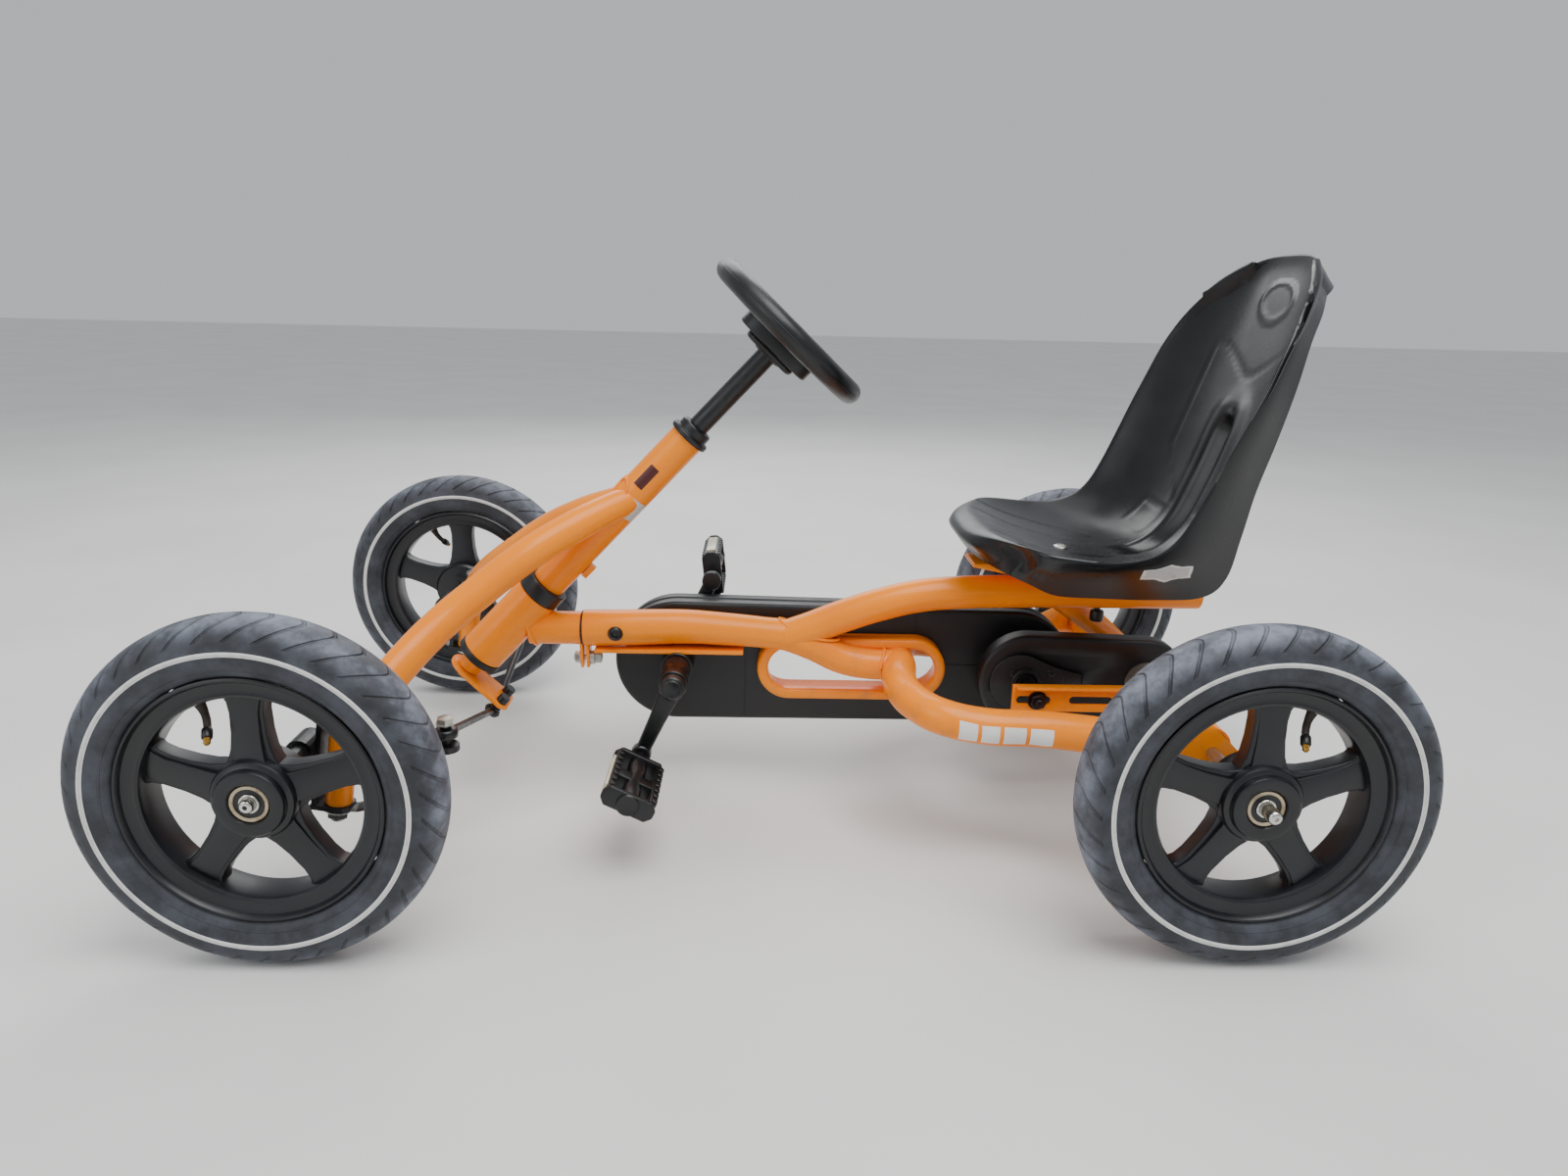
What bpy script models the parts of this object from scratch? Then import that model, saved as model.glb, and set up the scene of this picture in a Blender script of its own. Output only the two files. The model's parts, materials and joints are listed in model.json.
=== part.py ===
"""Child's pedal go kart: X forward, Y to the driver's left, Z up, origin on the ground mid-wheelbase.

Sizes are in millimetres and are written out in metres by the mesh builders.  Heights named `h` are
measured from the axle line, so the frame keeps its place over wheels of another size.
"""

import math

import bmesh
import bpy
from mathutils import Matrix, Vector

MM = 0.001
GAP = 0.3            # air between pieces that touch or run on each other
SEGMENTS = 24        # sides of the wheels
SIDES = 14           # sides of a frame tube
ROUND = 20           # sides of a turned piece

# Wheels
WHEEL_RADIUS = 156.5
TYRE_HALF_WIDTH = 28.4
RIM_RADIUS = 110.0
RIM_DEPTH = 19.0
HUB_RADIUS = 33.0
AXLE_RADIUS = 6.0
FRONT_X = 424.0
REAR_X = -424.0
FRONT_WHEEL_Y = 317.0
REAR_WHEEL_Y = 305.0
AXLE_END_Y = 345.0

# Steering line: from the top of the head tube, down and forward
RAKE = math.radians(46.7)
HEAD_TOP_X = 88.3
HEAD_TOP_H = 259.0
HEAD_TUBE_RADIUS = 19.0
HEAD_TUBE_WALL = 2.5
HEAD_TUBE_END = 361.0
COLUMN_RADIUS = 11.25
COLUMN_TOP = -150.0
WHEEL_PLANE = -155.0
WHEEL_HALF_HEIGHT = 88.0
WHEEL_HALF_WIDTH = 106.0
WHEEL_GRIP_RADIUS = 12.0
BUSH_WALL = 2.4
SLEEVE_WALL = 3.0
SLEEVE_TOP = 242.0
SLEEVE_END = 336.0
STUD_REACH = 52.6
STUD_Y = 13.0

# Front axle
FORK_RADIUS = 17.5
TUBE_WALL = 2.0
KINGPIN_X = 391.5
KINGPIN_Y = 223.0
KINGPIN_LEAN = math.radians(9.0)
KINGPIN_TUBE_RADIUS = 12.25
KINGPIN_RADIUS = 8.0
ARM_X = 303.5
ARM_Y = 200.0

# Frame
MAIN_RADIUS = 20.5
SEAT_TUBE_RADIUS = 18.5
REAR_TUBE_RADIUS = 19.0
AXLE_TUBE_RADIUS = 22.0
JOINT_X = 204.5
STUB_H = 44.1

# Drive
CRANK_X = 100.0
CRANK_H = 3.5
CRANK_LENGTH = 84.4
CRANK_ANGLE = math.radians(-65.9)
PEDAL_TILT = {"left": math.radians(-26), "right": math.radians(-84)}  # how each hangs, front edge up
CRANK_FACE_Y = 82.0
CRANK_THICKNESS = 13.0
JACK_X = -290.0
JACK_H = -2.5
CHAIN_Y = -45.0
CHAIN_FRONT_RADIUS = 54.0
CHAIN_REAR_RADIUS = 48.0
SECOND_Y = 17.5
SECOND_RADIUS = 30.0
CHAIN_HALF = 3.6
GUARD_NEAR_Y = -25.0
GUARD_FAR_Y = -65.0
WINDOW_X = -98.0
WINDOW_HALF_LENGTH = 71.0
WINDOW_RADIUS = 37.0

# Seat
SEAT_WALL = 3.5
KNOB_X = -371.6

HEIGHT = WHEEL_RADIUS
DOWN = Vector((math.cos(RAKE), 0, -math.sin(RAKE)))
ACROSS = Vector((math.sin(RAKE), 0, math.cos(RAKE)))
Y_AXIS = Vector((0, 1, 0))
Z_AXIS = Vector((0, 0, 1))

FINISHES = {
    "orange_paint": ((0.87, 0.25, 0.02, 1), 0.0, 0.3),
    "black_paint": ((0.02, 0.02, 0.022, 1), 0.0, 0.4),
    "black_plastic": ((0.025, 0.025, 0.028, 1), 0.0, 0.45),
    "tyre_rubber": ((0.03, 0.03, 0.03, 1), 0.0, 0.8),
    "zinc_steel": ((0.6, 0.6, 0.58, 1), 1.0, 0.35),
    "chain_steel": ((0.3, 0.27, 0.24, 1), 1.0, 0.5),
    "valve_rubber": ((0.06, 0.04, 0.03, 1), 0.0, 0.6),
}


def material(name):
    """The finish of that name, made on first use."""
    found = bpy.data.materials.get(name)
    if found:
        return found
    colour, metallic, roughness = FINISHES[name]
    made = bpy.data.materials.new(name)
    made.use_nodes = True
    shader = made.node_tree.nodes["Principled BSDF"]
    shader.inputs["Base Color"].default_value = colour
    shader.inputs["Metallic"].default_value = metallic
    shader.inputs["Roughness"].default_value = roughness
    return made


def at(x, y, h):
    """A point by its height over the axle line."""
    return Vector((x, y, HEIGHT + h))


def on_axis(s, across=0.0, y=0.0):
    """A point s below the top of the head tube along the steering line."""
    return at(HEAD_TOP_X, y, HEAD_TOP_H) + DOWN * s + ACROSS * across


def bore(radius, sides=ROUND):
    """Corner radius of a bore that clears a shaft of this radius."""
    return (radius + GAP) / math.cos(math.pi / sides)


def finish_mesh(name, bm, finish, origin):
    """One named object from a mesh in millimetres."""
    bmesh.ops.remove_doubles(bm, verts=bm.verts[:], dist=1e-4)
    bmesh.ops.recalc_face_normals(bm, faces=bm.faces[:])
    if bm.calc_volume(signed=True) < 0:
        bmesh.ops.reverse_faces(bm, faces=bm.faces[:])
    mesh = bpy.data.meshes.new(name)
    bmesh.ops.translate(bm, vec=-Vector(origin), verts=bm.verts[:])
    bmesh.ops.scale(bm, vec=(MM, MM, MM), verts=bm.verts[:])
    bm.to_mesh(mesh)
    bm.free()
    mesh.materials.append(material(finish))
    mesh.polygons.foreach_set("use_smooth", [True] * len(mesh.polygons))
    piece = bpy.data.objects.new(name, mesh)
    piece.location = Vector(origin) * MM
    bpy.context.scene.collection.objects.link(piece)
    return piece


def skin(name, rings, finish, origin=(0, 0, 0), closed=False):
    """A closed surface through rings of equal length; the end rings are capped unless it closes on itself."""
    bm = bmesh.new()
    rows = [[bm.verts.new(point) for point in ring] for ring in rings]
    count = len(rows[0])
    pairs = list(zip(rows, rows[1:]))
    if closed:
        pairs.append((rows[-1], rows[0]))
    for first, second in pairs:
        for i in range(count):
            j = (i + 1) % count
            bm.faces.new((first[i], first[j], second[j], second[i]))
    if not closed:
        bm.faces.new(rows[0][::-1])
        bm.faces.new(rows[-1])
    return finish_mesh(name, bm, finish, origin)


def square_to(axis):
    """Two directions square to an axis, the first as near level as it gets."""
    axis = axis.normalized()
    side = axis.cross(Z_AXIS)
    if side.length < 1e-3:
        side = Vector((0, 1, 0))
    side.normalize()
    return side, side.cross(axis).normalized()


def lathe(name, centre, axis, profile, finish, origin=None, sides=ROUND, ring=True, turn=0.0):
    """A turned piece: (radius, distance along the axis) points, a closed outline when it has a bore."""
    axis = axis.normalized()
    side, up = square_to(axis)
    rings = []
    for radius, along in profile:
        angles = [2 * math.pi * (i + turn) / sides for i in range(sides)]
        rings.append([
            centre + axis * along + side * (radius * math.cos(a)) + up * (radius * math.sin(a))
            for a in angles
        ])
    return skin(name, rings, finish, centre if origin is None else origin, ring)


def smooth_path(points, steps=3):
    """A curve through the points, with this many stations to a span."""
    points = [Vector(p) for p in points]
    ends = [points[0] * 2 - points[1]] + points + [points[-1] * 2 - points[-2]]
    path = []
    for a, b, c, d in zip(ends, ends[1:], ends[2:], ends[3:]):
        for i in range(steps):
            t = i / steps
            path.append(0.5 * (2 * b + (c - a) * t + (2 * a - 5 * b + 4 * c - d) * t * t
                               + (3 * b - a - 3 * c + d) * t ** 3))
    path.append(points[-1])
    return path


def stations(path, radii, sides=SIDES):
    """Rings along a path; radii holds a (half width, half height) for each station."""
    rings = []
    for i, point in enumerate(path):
        ahead = path[min(i + 1, len(path) - 1)]
        behind = path[max(i - 1, 0)]
        side, up = square_to(ahead - behind)
        wide, tall = radii[i]
        rings.append([
            point + side * (wide * math.cos(2 * math.pi * k / sides))
            + up * (tall * math.sin(2 * math.pi * k / sides))
            for k in range(sides)
        ])
    return rings


def tube(name, path, radii, wall, finish, origin=(0, 0, 0), sides=SIDES):
    """An open-ended tube along a path, or a solid bar when it has no wall."""
    path = [Vector(p) for p in path]
    if not isinstance(radii, list):
        radii = [(radii, radii)] * len(path)
    outer = stations(path, radii, sides)
    if not wall:
        return skin(name, outer, finish, origin)
    inner = stations(path, [(max(w - wall, 1.5), max(t - wall, 1.5)) for w, t in radii], sides)
    return skin(name, outer + inner[::-1], finish, origin, closed=True)


def prism(name, outline, centre, across, up, thickness, finish, origin=None):
    """An outline drawn in the plane of two directions, pushed out both ways from it."""
    normal = across.cross(up).normalized()
    rings = [
        [centre + across * u + up * v + normal * (thickness * side / 2) for u, v in outline]
        for side in (-1, 1)
    ]
    return skin(name, rings, finish, centre if origin is None else origin)


def box(name, low, high, finish="black_paint"):
    """A plain block between two corners."""
    low, high = Vector(low), Vector(high)
    middle = (low + high) / 2
    outline = [(low.x, low.y), (high.x, low.y), (high.x, high.y), (low.x, high.y)]
    rings = [[Vector((x, y, z)) for x, y in outline] for z in (low.z, high.z)]
    return skin(name, rings, finish, middle)


def combine(piece, tool, operation="DIFFERENCE"):
    """Cut a piece by a tool, or join the two, and use the tool up."""
    change = piece.modifiers.new(operation.title(), "BOOLEAN")
    change.operation = operation
    change.solver = "EXACT"
    change.object = tool
    bpy.context.view_layer.update()
    graph = bpy.context.evaluated_depsgraph_get()
    mesh = bpy.data.meshes.new_from_object(piece.evaluated_get(graph))
    piece.modifiers.clear()
    piece.data = mesh
    bpy.data.objects.remove(tool)
    return piece


def mirrored(piece, name):
    """The same piece for the other side of the kart."""
    mesh = piece.data.copy()
    mesh.transform(Matrix.Scale(-1, 4, Y_AXIS))
    mesh.flip_normals()
    twin = bpy.data.objects.new(name, mesh)
    twin.location = (piece.location.x, -piece.location.y, piece.location.z)
    bpy.context.scene.collection.objects.link(twin)
    return twin


def clearance(path, radii, gap=GAP):
    """A solid bar that leaves the gap all round a tube."""
    grown = (1 + 0.5 * (math.pi / SIDES) ** 2)
    if not isinstance(radii, list):
        radii = [(radii, radii)] * len(path)
    return tube("cutter", path, [((w + gap) * grown, (t + gap) * grown) for w, t in radii], 0, "black_paint")


def stadium(low_x, low_h, low_r, high_x, high_h, high_r, count=10):
    """An outline round two circles, as (x, height over the axle line)."""
    rise, run = high_h - low_h, high_x - low_x
    lean = math.atan2(rise, run)
    open_angle = math.acos((low_r - high_r) / math.hypot(rise, run))
    points = []
    for i in range(count + 1):
        a = lean - open_angle + 2 * open_angle * i / count
        points.append((high_x + high_r * math.cos(a), high_h + high_r * math.sin(a)))
    for i in range(count + 1):
        a = lean + open_angle + (2 * math.pi - 2 * open_angle) * i / count
        points.append((low_x + low_r * math.cos(a), low_h + low_r * math.sin(a)))
    return points


def slab(name, outline, low_y, high_y, finish, origin=None):
    """An outline in the side view, between two planes across the kart."""
    rings = [[at(x, y, h) for x, h in outline] for y in (low_y, high_y)]
    return skin(name, rings, finish, at(0, 0, 0) if origin is None else origin)


def rod_y(x, h, radius, low_y, high_y, finish="black_paint", name="cutter", sides=ROUND):
    """A bar lying across the kart."""
    return lathe(name, at(x, 0, h), Y_AXIS, [(radius, low_y), (radius, high_y)], finish, ring=False, sides=sides)


# ---------------------------------------------------------------- wheels

def wheel_set(tag, x, y):
    """Tyre, wheel and valve about one axle line; y also gives the side."""
    side = 1 if y > 0 else -1
    centre = at(x, y, 0)
    grow = 1 / math.cos(math.pi / SEGMENTS)
    seat = RIM_RADIUS + GAP
    crown = WHEEL_RADIUS
    wide = TYRE_HALF_WIDTH
    reach = crown - seat
    outer = [(seat, 0.74), (seat + 0.25 * reach, 0.93), (seat + 0.48 * reach, 1.0),
             (seat + 0.82 * reach, 0.88), (crown, 0.32)]
    inner = [(seat + 0.06 * reach, 0.6), (seat + 0.46 * reach, 0.86), (crown - 5.5, 0.45)]
    section = [(r * grow, -w * wide) for r, w in outer] + [(r * grow, w * wide) for r, w in outer[::-1]]
    section += [(r * grow, w * wide) for r, w in inner] + [(r * grow, -w * wide) for r, w in inner[::-1]]
    tyre = lathe("tyre_" + tag, centre, Y_AXIS, section, "tyre_rubber", sides=SEGMENTS, turn=0.5)
    opening = RIM_RADIUS - RIM_DEPTH
    rim = [(RIM_RADIUS, 22), (RIM_RADIUS - 8, 17), (RIM_RADIUS - 8, -17), (RIM_RADIUS, -22),
           (opening, -20), (opening, 20)]
    wheel = lathe("wheel_" + tag, centre, Y_AXIS, [(r * grow, s) for r, s in rim], "black_plastic",
                  sides=SEGMENTS, turn=0.5)
    for i in range(5):
        angle = math.pi / 2 + i * 2 * math.pi / 5
        out = Vector((math.cos(angle), 0, math.sin(angle)))
        over = Vector((-math.sin(angle), 0, math.cos(angle)))
        outline = [(HUB_RADIUS - 10, -13), (opening + 4, -17.5), (opening + 4, 17.5), (HUB_RADIUS - 10, 13)]
        spoke = prism("spoke", outline, centre, out, over, 26, "black_plastic")
        combine(wheel, spoke, "UNION")
    hub = lathe("hub", centre, Y_AXIS, [(HUB_RADIUS, -24), (HUB_RADIUS, 23)], "black_plastic", ring=False)
    combine(wheel, hub, "UNION")
    bore_tool = rod_y(x, 0, bore(AXLE_RADIUS), y - 60, y + 60)
    combine(wheel, bore_tool)
    angle = math.radians(115 if x < 0 else 63)
    out = Vector((math.cos(angle), 0, math.sin(angle)))
    root = opening * math.cos(math.pi / SEGMENTS) - 2 * GAP  # just inside the rim's facets
    path = [centre + out * root, centre + out * (opening - 14) + Y_AXIS * side * 3,
            centre + out * (opening - 29) + Y_AXIS * side * 14]
    tube("valve_" + tag, smooth_path(path, 2), 3.6, 0, "valve_rubber", origin=centre, sides=8)
    return tyre, wheel


# ---------------------------------------------------------------- front axle and steering

def fork_path():
    """Centre line of the left fork tube, from the head tube to the kingpin."""
    points = [(148, 8, 192.5), (205, 38, 168.5), (250, 66, 143.5), (296, 92, 109.5), (325, 112, 86.5),
              (355, 150, 56.5), (377, 190, 28), (KINGPIN_X + 0.5, KINGPIN_Y - 1, 8)]
    return smooth_path([at(x, y, h) for x, y, h in points], 2)


def fork_radii(path):
    """Round along the run, pressed taller and narrower towards the kingpin."""
    radii = []
    for i in range(len(path)):
        press = max(0.0, (i - len(path) + 6) / 5)
        radii.append((FORK_RADIUS - 4.5 * press, FORK_RADIUS + 5 * press))
    return radii


def kingpin_frame(side):
    """Centre and upward direction of a kingpin."""
    up = Vector((-math.sin(KINGPIN_LEAN), 0, math.cos(KINGPIN_LEAN)))
    return at(KINGPIN_X, side * KINGPIN_Y, 0), up


def front_axle():
    """Head tube, fork, kingpin tubes and the bearings on the steering line."""
    top = on_axis(0)
    hollow = HEAD_TUBE_RADIUS - HEAD_TUBE_WALL
    running = bore(COLUMN_RADIUS)
    head = lathe("head_tube", top, DOWN, [
        (HEAD_TUBE_RADIUS, 0), (HEAD_TUBE_RADIUS, 345), (13.8, 345.2), (13.8, HEAD_TUBE_END),
        (running, HEAD_TUBE_END), (running, 338), (hollow, 337), (hollow, 12), (running, 11), (running, 0),
    ], "orange_paint")
    lathe("head_cap", top, -DOWN, [
        (running, GAP), (22.5, GAP), (22.5, 6), (18, 6.5), (18, 16), (15, 17), (running, 17),
    ], "black_plastic")
    tab = prism("stop_tab", [(-8, -26), (8, -26), (8, -HEAD_TUBE_RADIUS - GAP), (-8, -HEAD_TUBE_RADIUS - GAP)],
                on_axis(183), DOWN, ACROSS, 9, "orange_paint", origin=top)
    fork_cutter = lathe("cutter", top, DOWN, [(bore(HEAD_TUBE_RADIUS), -30), (bore(HEAD_TUBE_RADIUS), 260)],
                        "black_paint", ring=False)
    centre, up = kingpin_frame(1)
    forward = Y_AXIS.cross(up).normalized()
    path = fork_path()
    fork = tube("fork_tube_left", path, fork_radii(path), TUBE_WALL, "orange_paint", origin=top)
    combine(fork, box("cutter", (60, -80, 100 + HEIGHT), (500, GAP / 2, 300 + HEIGHT)))
    combine(fork, lathe("cutter", centre, up, [(bore(KINGPIN_TUBE_RADIUS), -90), (bore(KINGPIN_TUBE_RADIUS), 90)],
                        "black_paint", ring=False))
    combine(fork, box("cutter", (340, KINGPIN_Y, HEIGHT - 60), (460, KINGPIN_Y + 60, HEIGHT + 90)))
    room = [(-15, -15), (24, -15), (24, 15), (-15, 15)]
    combine(fork, prism("cutter", room, centre + up * 43, forward, Y_AXIS, 18 - GAP, "black_paint"))
    combine(fork, fork_cutter)
    mirrored(fork, "fork_tube_right")
    for side, tag in ((1, "left"), (-1, "right")):
        centre, up = kingpin_frame(side)
        lathe("kingpin_tube_" + tag, centre, up, [
            (KINGPIN_TUBE_RADIUS, -58), (KINGPIN_TUBE_RADIUS, 34), (bore(KINGPIN_RADIUS), 34),
            (bore(KINGPIN_RADIUS), -58),
        ], "orange_paint", origin=top)
    return head, tab


def knuckles():
    """Steering knuckles with their stub axles and arms, and the kingpin bolts they turn on."""
    for side, tag in ((1, "left"), (-1, "right")):
        centre, up = kingpin_frame(side)
        forward = Y_AXIS.cross(up).normalized()
        hole = bore(KINGPIN_RADIUS)
        lug = [(-13, -9), (-8, -13), (22, -13), (22, 13), (-8, 13), (-13, 9)]
        piece = prism("knuckle_" + tag, lug, centre - up * (58 + GAP + 2.5), forward, Y_AXIS, 5, "black_paint",
                      origin=centre)
        top_lug = prism("lug", lug, centre + up * (34 + GAP + 2.5), forward, Y_AXIS, 5, "black_paint")
        combine(piece, top_lug, "UNION")
        web = [(16, -63), (21, -63), (21, 39), (16, 39)]
        combine(piece, prism("web", web, centre, forward, up, 25, "black_paint"), "UNION")
        low, high = sorted((side * (KINGPIN_Y - 11), side * (KINGPIN_Y + 20)))
        combine(piece, rod_y(FRONT_X, 0, 13, low, high), "UNION")
        low, high = sorted((side * (KINGPIN_Y - 5), side * AXLE_END_Y))
        combine(piece, rod_y(FRONT_X, 0, AXLE_RADIUS, low, high), "UNION")
        low, high = sorted((side * (KINGPIN_Y + 19), side * (FRONT_WHEEL_Y - 24 - GAP)))
        combine(piece, rod_y(FRONT_X, 0, 9, low, high), "UNION")
        arm = [at(KINGPIN_X + 6, side * KINGPIN_Y, -62.5), at(370, side * 217, -62.5),
               at(335, side * 207, -28), at(ARM_X, side * ARM_Y, -11)]
        bar = tube("arm", smooth_path(arm, 2), [(10, 2.4)] * 7, 0, "black_paint", sides=8)
        combine(piece, bar, "UNION")
        stud = lathe("stud", at(ARM_X, side * ARM_Y, 0), Z_AXIS, [(12, -14), (12, -8), (5, -8), (5, 14)],
                     "black_paint", ring=False, sides=16)
        combine(piece, stud, "UNION")
        tool = lathe("cutter", centre, up, [(hole, -90), (hole, 90)], "black_paint", ring=False)
        combine(piece, tool)
        lathe("kingpin_" + tag, centre, up, [
            (6.5, -76), (6.5, -64 - GAP), (KINGPIN_RADIUS, -64 - GAP), (KINGPIN_RADIUS, 39 + 2 * GAP),
            (11, 39 + 2 * GAP), (11, 45), (8, 47),
        ], "zinc_steel", ring=False)


def tie_rods():
    """Rods from the lever under the steering column to the knuckle arms."""
    for side, tag in ((1, "left"), (-1, "right")):
        inner = on_axis(377.5, -STUD_REACH, side * STUD_Y)
        outer = at(ARM_X, side * ARM_Y, 3.5)
        along = (outer - inner).normalized()
        rod = tube("tie_rod_" + tag, [inner + along * 8, outer - along * 8], 4, 0, "black_paint",
                   origin=outer, sides=12)
        for centre, axis, radius, half in ((inner, DOWN, 9.5, 4.0), (outer, Z_AXIS, 11.5, 6.5)):
            eye = lathe("eye", centre, axis, [(radius, -half), (radius, half)], "black_paint", ring=False, sides=16)
            combine(rod, eye, "UNION")
        combine(rod, lathe("cutter", outer, Z_AXIS, [(bore(5, 16), -20), (bore(5, 16), 20)], "black_paint",
                           ring=False, sides=16))


def steering():
    """Column, hand wheel, its cover and the lever at the foot."""
    top = on_axis(0)
    lathe("steering_column", top, DOWN, [
        (COLUMN_RADIUS, COLUMN_TOP), (COLUMN_RADIUS, HEAD_TUBE_END + GAP), (7, HEAD_TUBE_END + GAP + 0.1), (7, 374),
    ], "black_paint", ring=False)
    count = 24
    centre = on_axis(WHEEL_PLANE)
    rings = []
    for i in range(count):
        a = 2 * math.pi * i / count
        spoke = ACROSS * (WHEEL_HALF_HEIGHT * math.cos(a)) + Y_AXIS * (WHEEL_HALF_WIDTH * math.sin(a))
        out = (ACROSS * (math.cos(a) / WHEEL_HALF_HEIGHT) + Y_AXIS * (math.sin(a) / WHEEL_HALF_WIDTH)).normalized()
        rings.append([
            centre + spoke + out * (WHEEL_GRIP_RADIUS * math.cos(b)) + DOWN * (WHEEL_GRIP_RADIUS * math.sin(b))
            for b in (2 * math.pi * k / 8 for k in range(8))
        ])
    rim = skin("steering_wheel", rings, "black_plastic", origin=top, closed=True)
    outlines = (
        [(-34, -30), (34, -30), (34, 30), (-34, 30)],
        [(-14, -WHEEL_HALF_WIDTH), (14, -WHEEL_HALF_WIDTH), (14, WHEEL_HALF_WIDTH), (-14, WHEEL_HALF_WIDTH)],
        [(-WHEEL_HALF_HEIGHT, -13), (0, -13), (0, 13), (-WHEEL_HALF_HEIGHT, 13)],
    )
    for i, outline in enumerate(outlines):
        spoke = prism("spoke", outline, on_axis(WHEEL_PLANE + 0.3 * i), ACROSS, Y_AXIS, 8, "black_plastic")
        combine(rim, spoke, "UNION")
    cover = [(-50, -22), (-40, -32), (40, -32), (50, -22), (50, 22), (40, 32), (-40, 32), (-50, 22)]
    rings = []
    for s, scale in ((-120, 0.6), (-128, 0.86), (-138, 1.0), (WHEEL_PLANE + 4 + 3 * GAP, 1.0)):
        rings.append([on_axis(s, u * scale, v * scale) for u, v in cover])
    hood = skin("wheel_cover", rings, "black_plastic", origin=top)
    combine(hood, lathe("cutter", top, DOWN, [(bore(COLUMN_RADIUS), -170), (bore(COLUMN_RADIUS), -100)],
                        "black_paint", ring=False))
    lever = []
    for i in range(11):
        a = -math.pi / 2 + math.pi * i / 10
        lever.append((20 * math.cos(a), 20 * math.sin(a)))
    lever += [(-STUD_REACH - 4, STUD_Y + 9), (-STUD_REACH - 11, STUD_Y + 3), (-STUD_REACH - 11, -STUD_Y - 3),
              (-STUD_REACH - 4, -STUD_Y - 9)]
    plate = prism("pitman_lever", lever, on_axis(364.2), ACROSS, Y_AXIS, 4.4, "orange_paint", origin=top)
    for side in (1, -1):
        stud = lathe("stud", on_axis(364, -STUD_REACH, side * STUD_Y), DOWN, [(5, 0), (5, 6)], "black_paint",
                     ring=False, sides=16)
        combine(plate, stud, "UNION")
    combine(plate, lathe("cutter", top, DOWN, [(bore(7), 350), (bore(7), 380)], "black_paint", ring=False))


# ---------------------------------------------------------------- frame

def main_path():
    """Centre line of the main tube, from the joint back to the rear tube."""
    points = [(JOINT_X - GAP, 44.1), (145.6, 45.7), (90.7, 47.4), (46.7, 45.2), (2.6, 41.9), (-19.6, 39.4),
              (-52, 28), (-87, 12), (-151, 5.9)]
    return smooth_path([at(x, 0, h) for x, h in points], 1)


def main_radii():
    """The main tube is drawn down towards the back."""
    return [(r, r) for r in (MAIN_RADIUS, MAIN_RADIUS - 0.3, MAIN_RADIUS - 1.2, MAIN_RADIUS - 2, MAIN_RADIUS - 3,
                             MAIN_RADIUS - 3, MAIN_RADIUS - 3, MAIN_RADIUS - 3, MAIN_RADIUS - 3)]


def rear_path():
    """Centre line of the bent rear tube, left end to right end."""
    half = [(-462, 211.5, -13), (-440, 211.5, -7), (-424, 211, -2), (-400, 202, -2), (-350, 170, -6.5),
            (-281, 138, -11.5), (-220, 131, -11.5), (-181, 120, -6.5), (-163, 100, -4.2), (-150, 78, 0.5),
            (-146, 50, 4.5), (-151, 0, 5.9)]
    points = [at(*p) for p in half] + [at(x, -y, h) for x, y, h in half[-2::-1]]
    return smooth_path(points, 1)


def rear_radii():
    """Round along the run and flattened to plates at the axle."""
    flat = [(4.5, 27), (4.5, 28), (4.5, 28.5), (9, 25), (REAR_TUBE_RADIUS - 2, REAR_TUBE_RADIUS)]
    run = [(REAR_TUBE_RADIUS, REAR_TUBE_RADIUS)] * 13
    return flat + run + flat[::-1]


def pivot_socket():
    """Sleeve the front axle swings in, with the stub that plugs into the main tube."""
    inside = bore(HEAD_TUBE_RADIUS + GAP + BUSH_WALL)
    outside = inside + SLEEVE_WALL
    socket = rod_x("pivot_socket", [(18.5, JOINT_X + GAP), (18.5, 284)], "orange_paint", at(0, 0, STUB_H))
    spigot_radius = MAIN_RADIUS - TUBE_WALL - 2.7
    combine(socket, rod_x("spigot", [(spigot_radius, 150), (spigot_radius, 230)], "orange_paint",
                          at(0, 0, STUB_H)), "UNION")
    ear = [(-10, -42), (10, -42), (13, -10), (-13, -10)]
    combine(socket, prism("ear", ear, at(JOINT_X + 2, 0, STUB_H), Y_AXIS, Z_AXIS, 3, "orange_paint"), "UNION")
    combine(socket, lathe("sleeve", on_axis(0), DOWN, [(outside, SLEEVE_TOP), (outside, SLEEVE_END)],
                          "orange_paint", ring=False), "UNION")
    combine(socket, lathe("cutter", on_axis(0), DOWN, [(inside, 200), (inside, 380)], "black_paint", ring=False))
    combine(socket, rod_x("cutter", [(spigot_radius - TUBE_WALL, 140), (spigot_radius - TUBE_WALL, 250)],
                          "black_paint", at(0, 0, STUB_H)))
    combine(socket, rod_y(167, STUB_H + 0.4, bore(4), -60, 60))
    combine(socket, rod_x("cutter", [(bore(3), JOINT_X - 2), (bore(3), JOINT_X + 8)], "black_paint",
                          at(0, 0, STUB_H - 34.5)))
    flange = HEAD_TUBE_RADIUS + GAP + BUSH_WALL + 3.5
    inner = bore(HEAD_TUBE_RADIUS)
    spigot = HEAD_TUBE_RADIUS + GAP + BUSH_WALL
    lathe("bush_upper", on_axis(0), DOWN, [
        (inner, 224), (flange, 224), (flange, SLEEVE_TOP - GAP), (spigot, SLEEVE_TOP - GAP), (spigot, 262),
        (inner, 262),
    ], "black_plastic")
    lathe("bush_lower", on_axis(0), DOWN, [
        (inner, 316), (spigot, 316), (spigot, SLEEVE_END + GAP), (flange + 1, SLEEVE_END + GAP),
        (flange + 1, 344), (inner, 344),
    ], "black_plastic")
    return socket


def rod_x(name, profile, finish, centre):
    """A turned piece lying along the kart."""
    return lathe(name, centre, Vector((1, 0, 0)), profile, finish, ring=False, origin=centre)


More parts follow.
